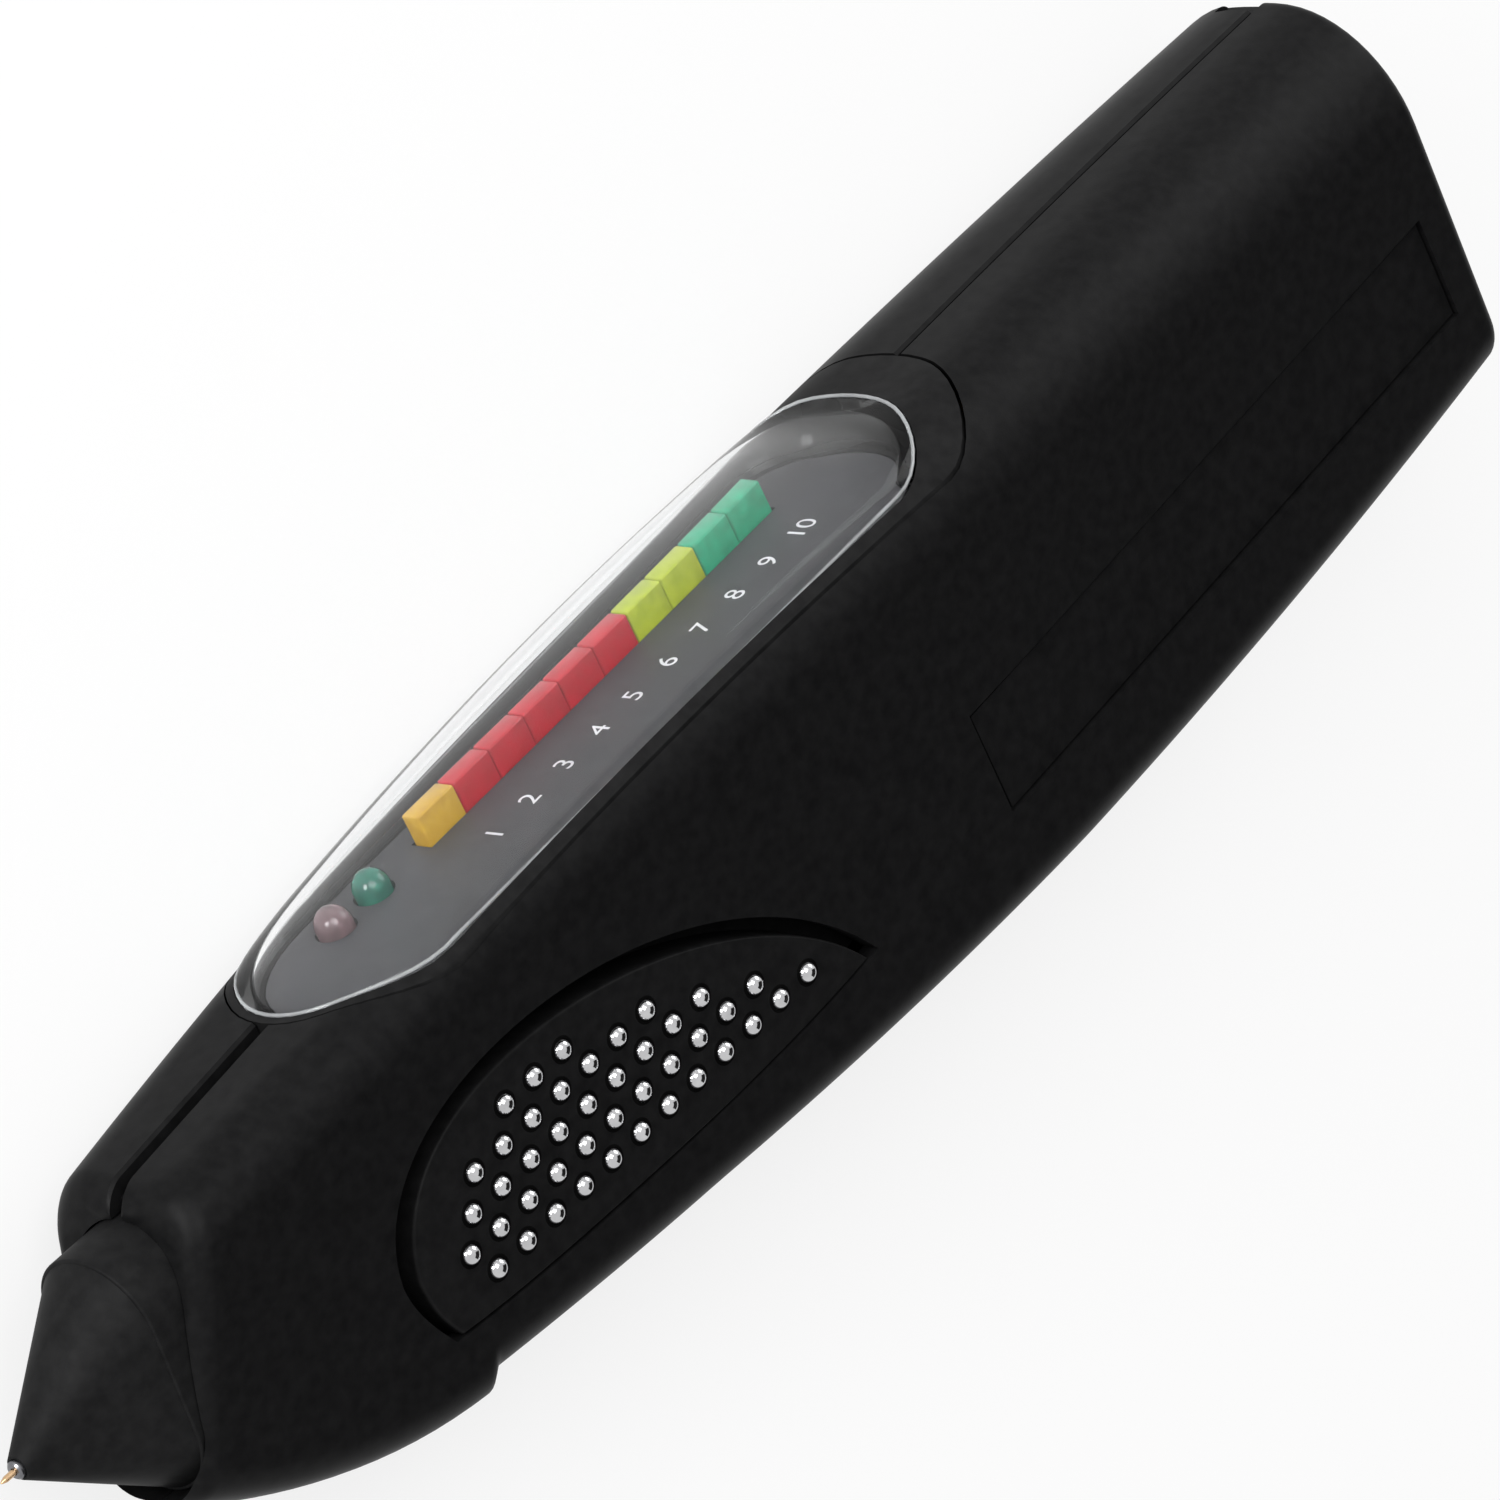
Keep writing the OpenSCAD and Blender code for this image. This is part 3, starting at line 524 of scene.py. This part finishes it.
def lensHighlightBead():
    # Glossy bead round the foot of the dome, real in shape and shine, pale grey as a painted
    # highlight line
    bead, sides = window["bead"], windowMesh["beadSides"]
    turns = [2 * pi * i / sides for i in range(sides)]
    bm = bmesh.new()
    loops = []
    for x, z in windowPlan(-bead / 2):
        middle = min(max(x, window["frontRun"]), window["long"] - window["half"])
        out = Vector((x - middle, z)).normalized()
        foot = Vector((x, skinY(x, z), z))
        loops.append(addRing(bm, [foot + bead * Vector((out.x * cos(a), sin(a), out.y * cos(a)))
                                  for a in turns]))
    for one, two in zip(loops, loops[1:] + loops[:1]):
        bmesh.ops.bridge_loops(bm, edges=one + two)
    return keep(bm)


settle(lensHighlightBead(), "lensHighlightBead", "highlightBead", sharp=60)

bezel = bodySolid(0)
bezelPlan = windowPrism(window["bezelRim"], window["bezelLow"], window["bezelTop"],
                        window["bezelRear"])
combine(bezel, bezelPlan, "INTERSECT")
combine(bezel, windowPrism(window["fit"], window["foot"]))
combine(bezel, windowPrism(-window["ledge"], window["foot"] - window["panelThick"]))
combine(bezel, windowPrism(-window["ledge"] - window["wellRim"], window["wellLow"]))
settle(bezel, "windowBezel", "matteBlack", replaced=["lens_bezel"])

# Lamp bar in the window: each node's name, first step, end step and finish
bar = dict(share=0.298, z=-4.2, pitch=4.34, gap=0.1, wide=1.8, low=-5.5, edge=0.18, edgeSteps=3,
           high=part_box("red_bar_leds")[1].y / mm - zero.y / mm,
           steps={"amber_bar_led": ("amberBarLed", 0, 1, "amberResin"),
                  "red_bar_leds": ("redBarLeds", 1, 6, "redResin"),
                  "lime_bar_leds": ("limeBarLeds", 6, 8, "limeResin"),
                  "green_bar_leds": ("greenBarLeds", 8, 10, "greenResin")})
barX = bar["share"] * window["long"]
for node, (name, first, end, finish) in bar["steps"].items():
    bm = bmesh.new()
    for i in range(first, end):
        low = Vector((barX + i * bar["pitch"] + bar["gap"] / 2, bar["low"],
                      bar["z"] - bar["wide"] / 2))
        size = Vector((bar["pitch"] - bar["gap"], bar["high"] - bar["low"], bar["wide"]))
        corners = addBox(bm, low, low + size)
        edges = list({e for v in corners for e in v.link_edges})
        bmesh.ops.bevel(bm, geom=edges, offset=bar["edge"], offset_type="OFFSET", affect="EDGES",
                        segments=bar["edgeSteps"], profile=0.5, material=-1)
    settle(keep(bm), name, finish, replaced=[node])

# Round lamps: each node's name, place along the window and finish
lamp = dict(d=3.0, foot=0.4, low=-5.5, domeSteps=12, spinSteps=40,
            places={"ready_led": ("readyLamp", 0.22, "lampGreen"),
                    "battery_led": ("cellLamp", 0.16, "lampRose")})
for node, (name, share, finish) in lamp["places"].items():
    r, shoulder = lamp["d"] / 2, window["foot"] + lamp["foot"]
    profile = [(lamp["low"], 0), (lamp["low"], r)]
    profile += [(shoulder + r * sin(a), r * cos(a)) for a in quarterTurn(lamp["domeSteps"])]
    bm = bmesh.new()
    lathe(bm, profile, lamp["spinSteps"])
    place = Matrix.Translation((share * window["long"], 0, bar["z"]))
    settle(keep(bm, matrix=place @ Matrix.Rotation(pi / 2, 4, "Z")), name, finish, replaced=[node])

# Plain step numbers beside the lamp bar
numbers = dict(high=2.6, z=2.2, lift=0.015, count=10)
bm = bmesh.new()
for i in range(numbers["count"]):
    text = bpy.data.curves.new("number", "FONT")
    text.body, text.size, text.align_x = str(i + 1), numbers["high"], "CENTER"
    holder = bpy.data.objects.new("number", text)
    scene.collection.objects.link(holder)
    figure = finalMesh(holder)
    place = Matrix.Translation((barX + (i + 0.5) * bar["pitch"], window["foot"] + numbers["lift"],
                                numbers["z"]))
    figure.transform(place @ standUp)
    bm.from_mesh(figure)
    bpy.data.objects.remove(holder)
    bpy.data.curves.remove(text)
settle(keep(bm), "stepNumbers", "printWhite")

# Side grips: corner points of the leaf outline, and how each moves in per mm of inset
grip = dict(corners=dict(tail=(45.8, -27.6), lift=(34.3, -7.5), brow=(-4.2, -3), front=(-5.6, -20),
                         foot=(-3.2, -27)),
            draw=dict(tail=(-0.8, 0), lift=(0.7, -3), brow=(1.9, -0.8), front=(1.1, -0.7),
                      foot=(0.5, 0.1)),
            keel=((9, -28.6), (33, -29.2)), keelDraw=(0, 0.1),
            frontPull=(0, -2.6), footPull=(-1, 1.8),
            browSteps=48, frontSteps=10, keelSteps=16, sink=1.2, slope=3.7, groove=1.5, drop=3.4,
            flange=1, flangeRim=0.8, edge=0.3, edgeTurns=5, root=0.01, wellDeep=5.6, wellTop=30)
gripFrame = (Matrix.Translation((0, 0, halfThick(0) - grip["sink"]))
             @ Matrix.Rotation(radians(-grip["slope"]), 4, "Y"))


def curve(a, b, c, d, steps):
    # Points of a cubic curve, without its first point
    a, b, c, d = (Vector(p) for p in (a, b, c, d))
    return [tuple(a * (1 - u) ** 3 + b * 3 * u * (1 - u) ** 2
                  + c * 3 * u * u * (1 - u) + d * u ** 3)
            for u in (i / steps for i in range(1, steps + 1))]


def gripOutline(inset):
    tail, lift, brow, front, foot = (Vector(point) + inset * Vector(grip["draw"][corner])
                                     for corner, point in grip["corners"].items())
    under = [Vector(p) + inset * Vector(grip["keelDraw"]) for p in grip["keel"]]
    pulls = front + Vector(grip["frontPull"]), foot + Vector(grip["footPull"])
    return (curve(tail, lift, brow, front, grip["browSteps"])
            + curve(front, *pulls, foot, grip["frontSteps"])
            + curve(foot, *under, tail, grip["keelSteps"]))


def grown(points, rim):
    middle = sum((Vector(p) for p in points), Vector((0, 0))) / len(points)
    return [tuple(Vector(p) + (Vector(p) - middle).normalized() * rim) for p in points]


def stack(bm, rings):
    loft(bm, [[(x, y, z) for x, y in ring] for ring, z in rings])


def gripPanel():
    drop, edge = grip["drop"], grip["edge"]
    rim = gripOutline(grip["groove"])
    flange = grown(gripOutline(0), grip["flangeRim"])
    bm = bmesh.new()
    stack(bm, [(flange, -drop - grip["flange"]), (flange, -drop)])
    stack(bm, [(rim, -drop - grip["root"])]
          + [(grown(rim, -edge * (1 - cos(a))), -edge * (1 - sin(a)))
             for a in quarterTurn(grip["edgeTurns"])])
    return bm


# Studs stand in staggered rows, counted from the belly
stud = dict(d=1.7, rise=0.65, root=0.3, foot=0.02, pitch=3.29, rowPitch=2.53, x=2.7, y=-24.7,
            counts=(12, 11, 9, 7, 3), starts=(0, -0.5, 0, 0.5, 2),
            bands=(0.44, 0.58, 0.72, 0.86, 1), lowestBand=0.03, spinSteps=28,
            # width and height of the black ring of painted shade round each stud
            shadeRing=0.24, shadeRingHigh=0.05)


def spreadStuds(bm):
    single = bpy.data.meshes.new("stud")
    bm.to_mesh(single)
    bm.free()
    field = bmesh.new()
    for row, (count, start) in enumerate(zip(stud["counts"], stud["starts"])):
        for i in range(count):
            before = len(field.verts)
            field.from_mesh(single)
            field.verts.ensure_lookup_table()
            place = (stud["x"] + (start + i) * stud["pitch"], stud["y"] + row * stud["rowPitch"], 0)
            bmesh.ops.translate(field, vec=place, verts=field.verts[before:])
    return field


def studField():
    r, rise, root = stud["d"] / 2, stud["rise"], stud["root"]
    ball = (r * r + rise * rise) / (2 * rise)
    cap = [(rise - ball + ball * sin(pi / 2 * u), ball * cos(pi / 2 * u)) for u in stud["bands"]]
    profile = [(-root, 0), (-root, r), (stud["foot"], r)]
    profile += [(h, min(w, r)) for h, w in cap if h > stud["lowestBand"]]
    profile[-1] = (rise, 0)
    bm = bmesh.new()
    lathe(bm, profile, stud["spinSteps"], sideways)
    return spreadStuds(bm)


def shadeRingField():
    # Black ring round each stud, painted shade standing in for the shadow gap at its foot
    r, high = stud["d"] / 2, stud["shadeRingHigh"]
    rim = r + stud["shadeRing"]
    bm = bmesh.new()
    lathe(bm, [(-high, r), (high, r), (high, rim - high), (0, rim), (-high, rim), (-high, r)],
          stud["spinSteps"], sideways)
    return spreadStuds(bm)


for side, turn in (("right", gripFrame), ("left", flip @ gripFrame)):
    settle(keep(gripPanel(), matrix=turn), side + "Grip", "blackGrip",
           replaced=["grip_panel_" + side])
    settle(keep(studField(), matrix=turn), side + "Studs", "chrome",
           replaced=["contact_studs_" + side], sharp=50)
    # black rings of painted shade round the studs
    settle(keep(shadeRingField(), matrix=turn), side + "ShadeRings", "shadeRingBlack")

# Nose: the probe's own x runs from the collar's face to the tip
nose = dict(x=-25.3, y=-13.5, pitch=4, coneWide=10.6, coneTall=19.4, coneLong=11.4, coneSteps=24,
            tip=2, rim=0.3, collarLong=7, collarSoft=0.2, softTurns=5, fit=0.15, past=1, wellRoom=2,
            guideD=6, guideFit=0.05, roundSteps=32, flatSteps=6)
tipRing = dict(long=0.9, d=1.5, edge=0.15, fit=0.05, steps=40)
needle = dict(d=0.5, show=1.4, root=0.2, room=0.2, fit=0.05, pointRun=0.12, pointR=0.06, steps=24)
probeFrame = (Matrix.Translation((nose["x"], nose["y"], 0))
              @ Matrix.Rotation(radians(180 - nose["pitch"]), 4, "Z"))


def obround(x, wide, tall):
    # Closed ring across the probe, tall in y, with a few points on its straight sides
    steps, flat = nose["roundSteps"], nose["flatSteps"]
    r, straight = wide / 2, (tall - wide) / 2
    turns = [pi * i / steps for i in range(steps + 1)]
    upper = [(straight + r * sin(a), r * cos(a)) for a in turns]
    lower = [(-y, -z) for y, z in upper]
    falling = [straight * (1 - 2 * i / flat) for i in range(1, flat)]
    ring = upper + [(y, -r) for y in falling] + lower + [(-y, r) for y in falling]
    return [(x, y, z) for y, z in ring]


def collar():
    wide, tall = nose["coneWide"] + 2 * nose["rim"], nose["coneTall"] + 2 * nose["rim"]
    rings = [obround(-nose["collarLong"], wide, tall)]
    for a in quarterTurn(nose["softTurns"]):
        back, inward = (nose["collarSoft"] * (1 - f(a)) for f in (sin, cos))
        rings.append(obround(-back, wide - 2 * inward, tall - 2 * inward))
    bm = bmesh.new()
    loft(bm, rings)
    return keep(bm, matrix=probeFrame)


def cone():
    base = obround(0, nose["coneWide"], nose["coneTall"])
    straight, scale = (nose["coneTall"] - nose["coneWide"]) / 2, nose["tip"] / nose["coneWide"]
    tip = []
    for x, y, z in base:
        over = max(0, abs(y) - straight) * (1 if y > 0 else -1)
        tip.append((nose["coneLong"], over * scale, z * scale))
    steps = nose["coneSteps"]
    bm = bmesh.new()
    loft(bm, [[Vector(a).lerp(Vector(b), i / steps) for a, b in zip(base, tip)]
              for i in range(steps + 1)])
    bmesh.ops.remove_doubles(bm, verts=bm.verts, dist=meshing["weld"])
    return keep(bm, matrix=probeFrame)


ringBack = nose["coneLong"] - tipRing["long"] / 2
ringFront = nose["coneLong"] + tipRing["long"] / 2
pastTip = nose["coneLong"] + nose["past"]
coneShell = cone()
combine(coneShell, rod(-nose["past"], pastTip, needle["d"] / 2 + needle["room"], probeFrame))
combine(coneShell, rod(ringBack, pastTip, tipRing["d"] / 2 + tipRing["fit"], probeFrame))
settle(coneShell, "noseCone", "matteBlack", replaced=["nose_cone"], sharp=28)
noseCollar = collar()
combine(noseCollar, rod(-nose["collarLong"] - nose["past"], nose["past"],
                        nose["guideD"] / 2 + nose["guideFit"], probeFrame))
settle(noseCollar, "noseCollar", "matteBlack", replaced=["nose_collar"])

bm = bmesh.new()
outer, inner, edge = tipRing["d"] / 2, needle["d"] / 2 + needle["fit"], tipRing["edge"]
lathe(bm, [(ringBack, inner), (ringBack, outer), (ringFront - edge, outer),
           (ringFront, outer - edge), (ringFront, inner), (ringBack, inner)],
      tipRing["steps"], probeFrame)
settle(keep(bm), "tipRing", "tipSteel", replaced=["tip_ring"])

bm = bmesh.new()
point, root, r = ringFront + needle["show"], needle["root"], needle["d"] / 2
lathe(bm, [(root, 0), (root, r), (point - 2 * r, r), (point - needle["pointRun"], r / 2),
           (point, needle["pointR"]), (point, 0)], needle["steps"], probeFrame)
settle(keep(bm), "probeNeedle", "needleCopper", "probe", ["probe_needle"])

# Battery cover with finger grooves
cover = dict(x=77.2, end=160, y0=-28, y1=-5, tongue=0.9, track=1, fit=0.2, out=5,
             pullX=118.9, pullY=-21, pullPitch=2, pullCount=5, pullWide=0.9, pullLong=9,
             pullDeep=0.4, pullOut=1)


def coverTool(gap):
    outside = -body["halfT"]
    inside, track = outside + body["wall"], outside + body["wall"] + cover["track"] + gap
    low, high, start = cover["y0"] - gap, cover["y1"] + gap, cover["x"] - gap
    tool = block((start, low, outside - cover["out"]), (cover["end"], high, track))
    tongue = block((start, low - cover["tongue"], inside - gap),
                   (cover["end"], high + cover["tongue"], track))
    return combine(tool, tongue, "UNION")


batteryCover = combine(bodySolid(0), coverTool(0), "INTERSECT")
for i in range(cover["pullCount"]):
    x, y, outside = cover["pullX"] + i * cover["pullPitch"], cover["pullY"], -body["halfT"]
    combine(batteryCover, block((x, y, outside - cover["pullOut"]),
                                (x + cover["pullWide"], y + cover["pullLong"],
                                 outside + cover["pullDeep"])))
settle(batteryCover, "batteryCover", "blackShell", "cover", ["battery_cover"])

# Power button on the tail
button = dict(y=-16, z=6.4, d=6.4, proud=0.74, flange=1, flangeRim=0.7, room=0.6, edge=0.5,
              edgeTurns=5, dish=0.25, dishRings=6, steps=56, fit=0.06, holeIn=10, holeOut=20)
buttonPlace = Matrix.Translation((0, button["y"], button["z"]))
tailAtButton = body["tailX"] - button["y"] * tan(radians(body["tailLean"]))
stem = tailAtButton - body["wall"] / cos(radians(body["tailLean"])) - button["room"]
r, end, edge = button["d"] / 2, tailAtButton + button["proud"], button["edge"]
back, rim = stem - button["flange"], r + button["flangeRim"]
profile = [(back, 0), (back, rim), (stem, rim), (stem, r)]
profile += [(end - edge * (1 - sin(a)), r - edge * (1 - cos(a)))
            for a in quarterTurn(button["edgeTurns"])]
for k in reversed(range(button["dishRings"])):
    u = k / button["dishRings"]
    profile.append((end - button["dish"] * (1 - u ** 2), (r - edge) * u))
bm = bmesh.new()
lathe(bm, profile, button["steps"], buttonPlace)
settle(keep(bm), "powerButton", "buttonRed", "button", ["power_button"])

# Half shells
shell = dict(grooveOut=-6, grooveLow=-14, grooveHigh=12, ease=0.01,
             label=(94.9, -21.7), labelSize=(64.4, 9.2), labelTurn=1.9, labelDeep=0.3,
             labelLip=0.25, labelTop=10, plateRoot=0.05,
             notchRun=2, notchWide=4, notchDeep=0.9, notchSide=1, notchOut=20)
screw = dict(places=((-9, -27.6), (56, -31), (74.3, -31), (92, -2.2)), back=6,
             holeD=4.1, holeFar=40, headD=3.7, headHigh=1.2, edge=0.25, shankD=2, shankEnd=5.6,
             steps=40, slotWide=0.55, slotLong=2.3, slotDeep=0.6, slotOut=9)


def frontGroove():
    # Carries the wide seam groove down the nose front to the collar
    wide, deep = seam["wide"] - shell["ease"], seam["deep"] + shell["ease"]
    lean = Matrix.Rotation(radians(-body["frontLean"]), 4, "Z")
    return block((shell["grooveOut"], shell["grooveLow"], -wide), (deep, shell["grooveHigh"], wide),
                 Matrix.Translation((body["frontX"], body["frontY"], 0)) @ lean)


def halfShell(left):
    made = bodyHalf()
    if left:
        made.data.transform(flip)
        made.data.flip_normals()
    combine(made, bodySolid(body["wall"]))
    combine(made, windowPrism(window["bezelRim"] + window["fit"],
                              window["bezelLow"] - window["bezelRoom"],
                              rear=window["bezelRear"] + window["fit"]))
    combine(made, prism(gripOutline(0), -grip["wellDeep"], grip["wellTop"],
                        flip @ gripFrame if left else gripFrame))
    wide, tall = (nose[k] + 2 * nose["rim"] + 2 * nose["fit"] for k in ("coneWide", "coneTall"))
    bm = bmesh.new()
    loft(bm, [obround(x, wide, tall)
              for x in (-nose["collarLong"] - nose["wellRoom"], nose["coneLong"])])
    combine(made, keep(bm, matrix=probeFrame))
    combine(made, frontGroove())
    return made


rightShell = halfShell(False)
combine(rightShell, rod(body["tailX"] - button["holeIn"], body["tailX"] + button["holeOut"],
                        button["d"] / 2 + button["fit"], buttonPlace))
labelX, labelY = (size / 2 for size in shell["labelSize"])
labelFrame = (Matrix.Translation((*shell["label"], body["halfT"]))
              @ Matrix.Rotation(radians(shell["labelTurn"]), 4, "Z"))
lip, plateTop = shell["labelLip"], -shell["labelDeep"]
combine(rightShell, block((-labelX, -labelY, plateTop - lip), (labelX, labelY, shell["labelTop"]),
                          labelFrame))
settle(rightShell, "rightShell", "blackShell", replaced=["right_housing"])
# Bare label plate with a thin line round it
plate = block((lip - labelX, lip - labelY, plateTop - lip - shell["plateRoot"]),
              (labelX - lip, labelY - lip, plateTop), labelFrame)
settle(plate, "labelPlate", "blackShell")

leftShell = halfShell(True)
combine(leftShell, coverTool(cover["fit"]))
screwFrames = [Matrix.Translation((x, y, 0)) @ sideways for x, y in screw["places"]]
for place in screwFrames:
    combine(leftShell, rod(-screw["holeFar"], -screw["back"], screw["holeD"] / 2, place))
# Small notch in the top of the tail, beside the seam
tail, out = body["tailX"], shell["notchOut"]
combine(leftShell, block((tail - shell["notchRun"], topY(tail) - shell["notchDeep"],
                          -shell["notchWide"]), (tail + out, out, shell["notchSide"])))
settle(leftShell, "leftShell", "blackShell", replaced=["left_housing"])

# Screws with a cross recess, seen down their holes
r, edge, shank, shankEnd = screw["headD"] / 2, screw["edge"], screw["shankD"] / 2, screw["shankEnd"]
back, outer = -screw["back"], -screw["back"] - screw["headHigh"]
slotX, slotEnd = -screw["slotOut"], outer + screw["slotDeep"]
wide, far = screw["slotWide"] / 2, screw["slotLong"] / 2
screws = bmesh.new()
for place in screwFrames:
    bm = bmesh.new()
    lathe(bm, [(outer, 0), (outer, r - edge), (outer + edge, r), (back, r), (back, shank),
               (shankEnd, shank), (shankEnd, 0)], screw["steps"])
    single = keep(bm)
    for y, z in ((wide, far), (far, wide)):
        combine(single, block((slotX, -y, -z), (slotEnd, y, z)))
    single.data.transform(place)
    screws.from_mesh(single.data)
    bpy.data.objects.remove(single)
settle(keep(screws), "housingScrews", "springSteel", replaced=["housing_screws"])

# Inner pieces keep their solids
innerFinishes = {
    "panelGrey": ["display_panel"],
    "boardGreen": ["display_board", "main_board", "switch_board"],
    "darkMoulding": ["board_header", "controller_chip", "amplifier_chip", "buzzer", "battery_tray",
                     "power_switch"],
    "springSteel": ["contact_plate_right", "contact_plate_left", "probe_spring", "battery_springs",
                    "battery_plates"],
    "needleCopper": ["probe_carrier"],
    "guideBrass": ["probe_guide"],
    "cellWrap": ["battery_cells"],
}
for finish, names in innerFinishes.items():
    for name in names:
        nodes[name].data.materials.clear()
        nodes[name].data.materials.append(finishes[finish])
print("inner pieces finished")

# Floor, light and camera, in metres
stage = dict(floorSize=4.0, floorZ=-0.0003, floorTone=0.85, floorRough=0.9, keepShadow=0.22,
             worldFill=0.55, seenWhite=1.0)


def seenRays(tree):
    # 1 for camera, glossy and transmission rays
    path = tree.nodes.new("ShaderNodeLightPath")
    first, second = tree.nodes.new("ShaderNodeMath"), tree.nodes.new("ShaderNodeMath")
    first.operation = second.operation = "MAXIMUM"
    tree.links.new(path.outputs["Is Camera Ray"], first.inputs[0])
    tree.links.new(path.outputs["Is Glossy Ray"], first.inputs[1])
    tree.links.new(first.outputs[0], second.inputs[0])
    tree.links.new(path.outputs["Is Transmission Ray"], second.inputs[1])
    return second.outputs[0]


def stageSheet(name, finish, size, matrix, tone, rough):
    bm = bmesh.new()
    bmesh.ops.create_grid(bm, x_segments=1, y_segments=1, size=size / 2, matrix=matrix)
    sheet = keep(bm, name)
    material = bpy.data.materials.new(finish)
    material.use_nodes = True
    shader = material.node_tree.nodes["Principled BSDF"]
    shader.inputs["Base Color"].default_value = (tone, tone, tone, 1)
    shader.inputs["Roughness"].default_value = rough
    sheet.data.materials.append(material)
    return material.node_tree, shader


# The floor looks white and keeps the shadow
tree, shader = stageSheet("floor", "paleFloor", stage["floorSize"],
                          Matrix.Translation((0, 0, stage["floorZ"])),
                          stage["floorTone"], stage["floorRough"])
glow, mix = tree.nodes.new("ShaderNodeEmission"), tree.nodes.new("ShaderNodeMixShader")
glow.inputs["Strength"].default_value = stage["seenWhite"]
share = tree.nodes.new("ShaderNodeMath")
share.operation = "MULTIPLY"
share.inputs[1].default_value = 1 - stage["keepShadow"]
tree.links.new(seenRays(tree), share.inputs[0])
tree.links.new(share.outputs[0], mix.inputs["Fac"])
tree.links.new(shader.outputs[0], mix.inputs[1])
tree.links.new(glow.outputs[0], mix.inputs[2])
tree.links.new(mix.outputs[0], tree.nodes["Material Output"].inputs["Surface"])

world = bpy.data.worlds.new("studio")
scene.world = world
world.use_nodes = True
tree = world.node_tree
backdrop = tree.nodes["Background"]
backdrop.inputs["Color"].default_value = (1, 1, 1, 1)
strength = spread(tree, seenRays(tree), stage["worldFill"], stage["seenWhite"])
tree.links.new(strength, backdrop.inputs["Strength"])

# A dark card stands where the side and the studs mirror the camera
card = dict(towards=(0.566, -0.47, 0.677), far=1.7, wide=1.7, tone=0.01, rough=0.9)
towards = Vector(card["towards"]).normalized()
facing = towards.to_track_quat("Z", "Y").to_matrix().to_4x4()
stageSheet("darkCard", "cardBlack", card["wide"],
           Matrix.Translation(towards * card["far"]) @ facing, card["tone"], card["rough"])


def aimed(place, target):
    # Stands at a place and looks at a target
    turn = (target - place).to_track_quat("-Z", "Y").to_matrix().to_4x4()
    return Matrix.Translation(place) @ turn


lamps = {
    "key": dict(at=(-0.35, 0.75, 0.75), size=0.7, watts=9),
    "rim": dict(at=(0.9, 0.5, 0.45), size=0.6, watts=4),
    "side": dict(at=(-0.95, 0.75, 0.12), size=0.45, watts=14),
}
for name, softbox in lamps.items():
    light = bpy.data.lights.new(name, "AREA")
    light.size, light.energy = softbox["size"], softbox["watts"]
    holder = bpy.data.objects.new(name, light)
    scene.collection.objects.link(holder)
    holder.matrix_world = aimed(Vector(softbox["at"]), Vector())

# Eye and target in drawing millimetres
view = dict(eye=(-355.58, 324.78, 486.78), target=(51.52, -14.29, 0), roll=95.417, lens=227.99,
            sensor=36)
cameraData = bpy.data.cameras.new("camera")
cameraData.sensor_fit, cameraData.sensor_width = "HORIZONTAL", view["sensor"]
cameraData.lens = view["lens"]
camera = bpy.data.objects.new("camera", cameraData)
scene.collection.objects.link(camera)
camera.matrix_world = (aimed(toFrame @ Vector(view["eye"]), toFrame @ Vector(view["target"]))
                       @ Matrix.Rotation(radians(view["roll"]), 4, "Z"))
scene.camera = camera
scene.view_settings.view_transform = "Standard"

print("scene ready")
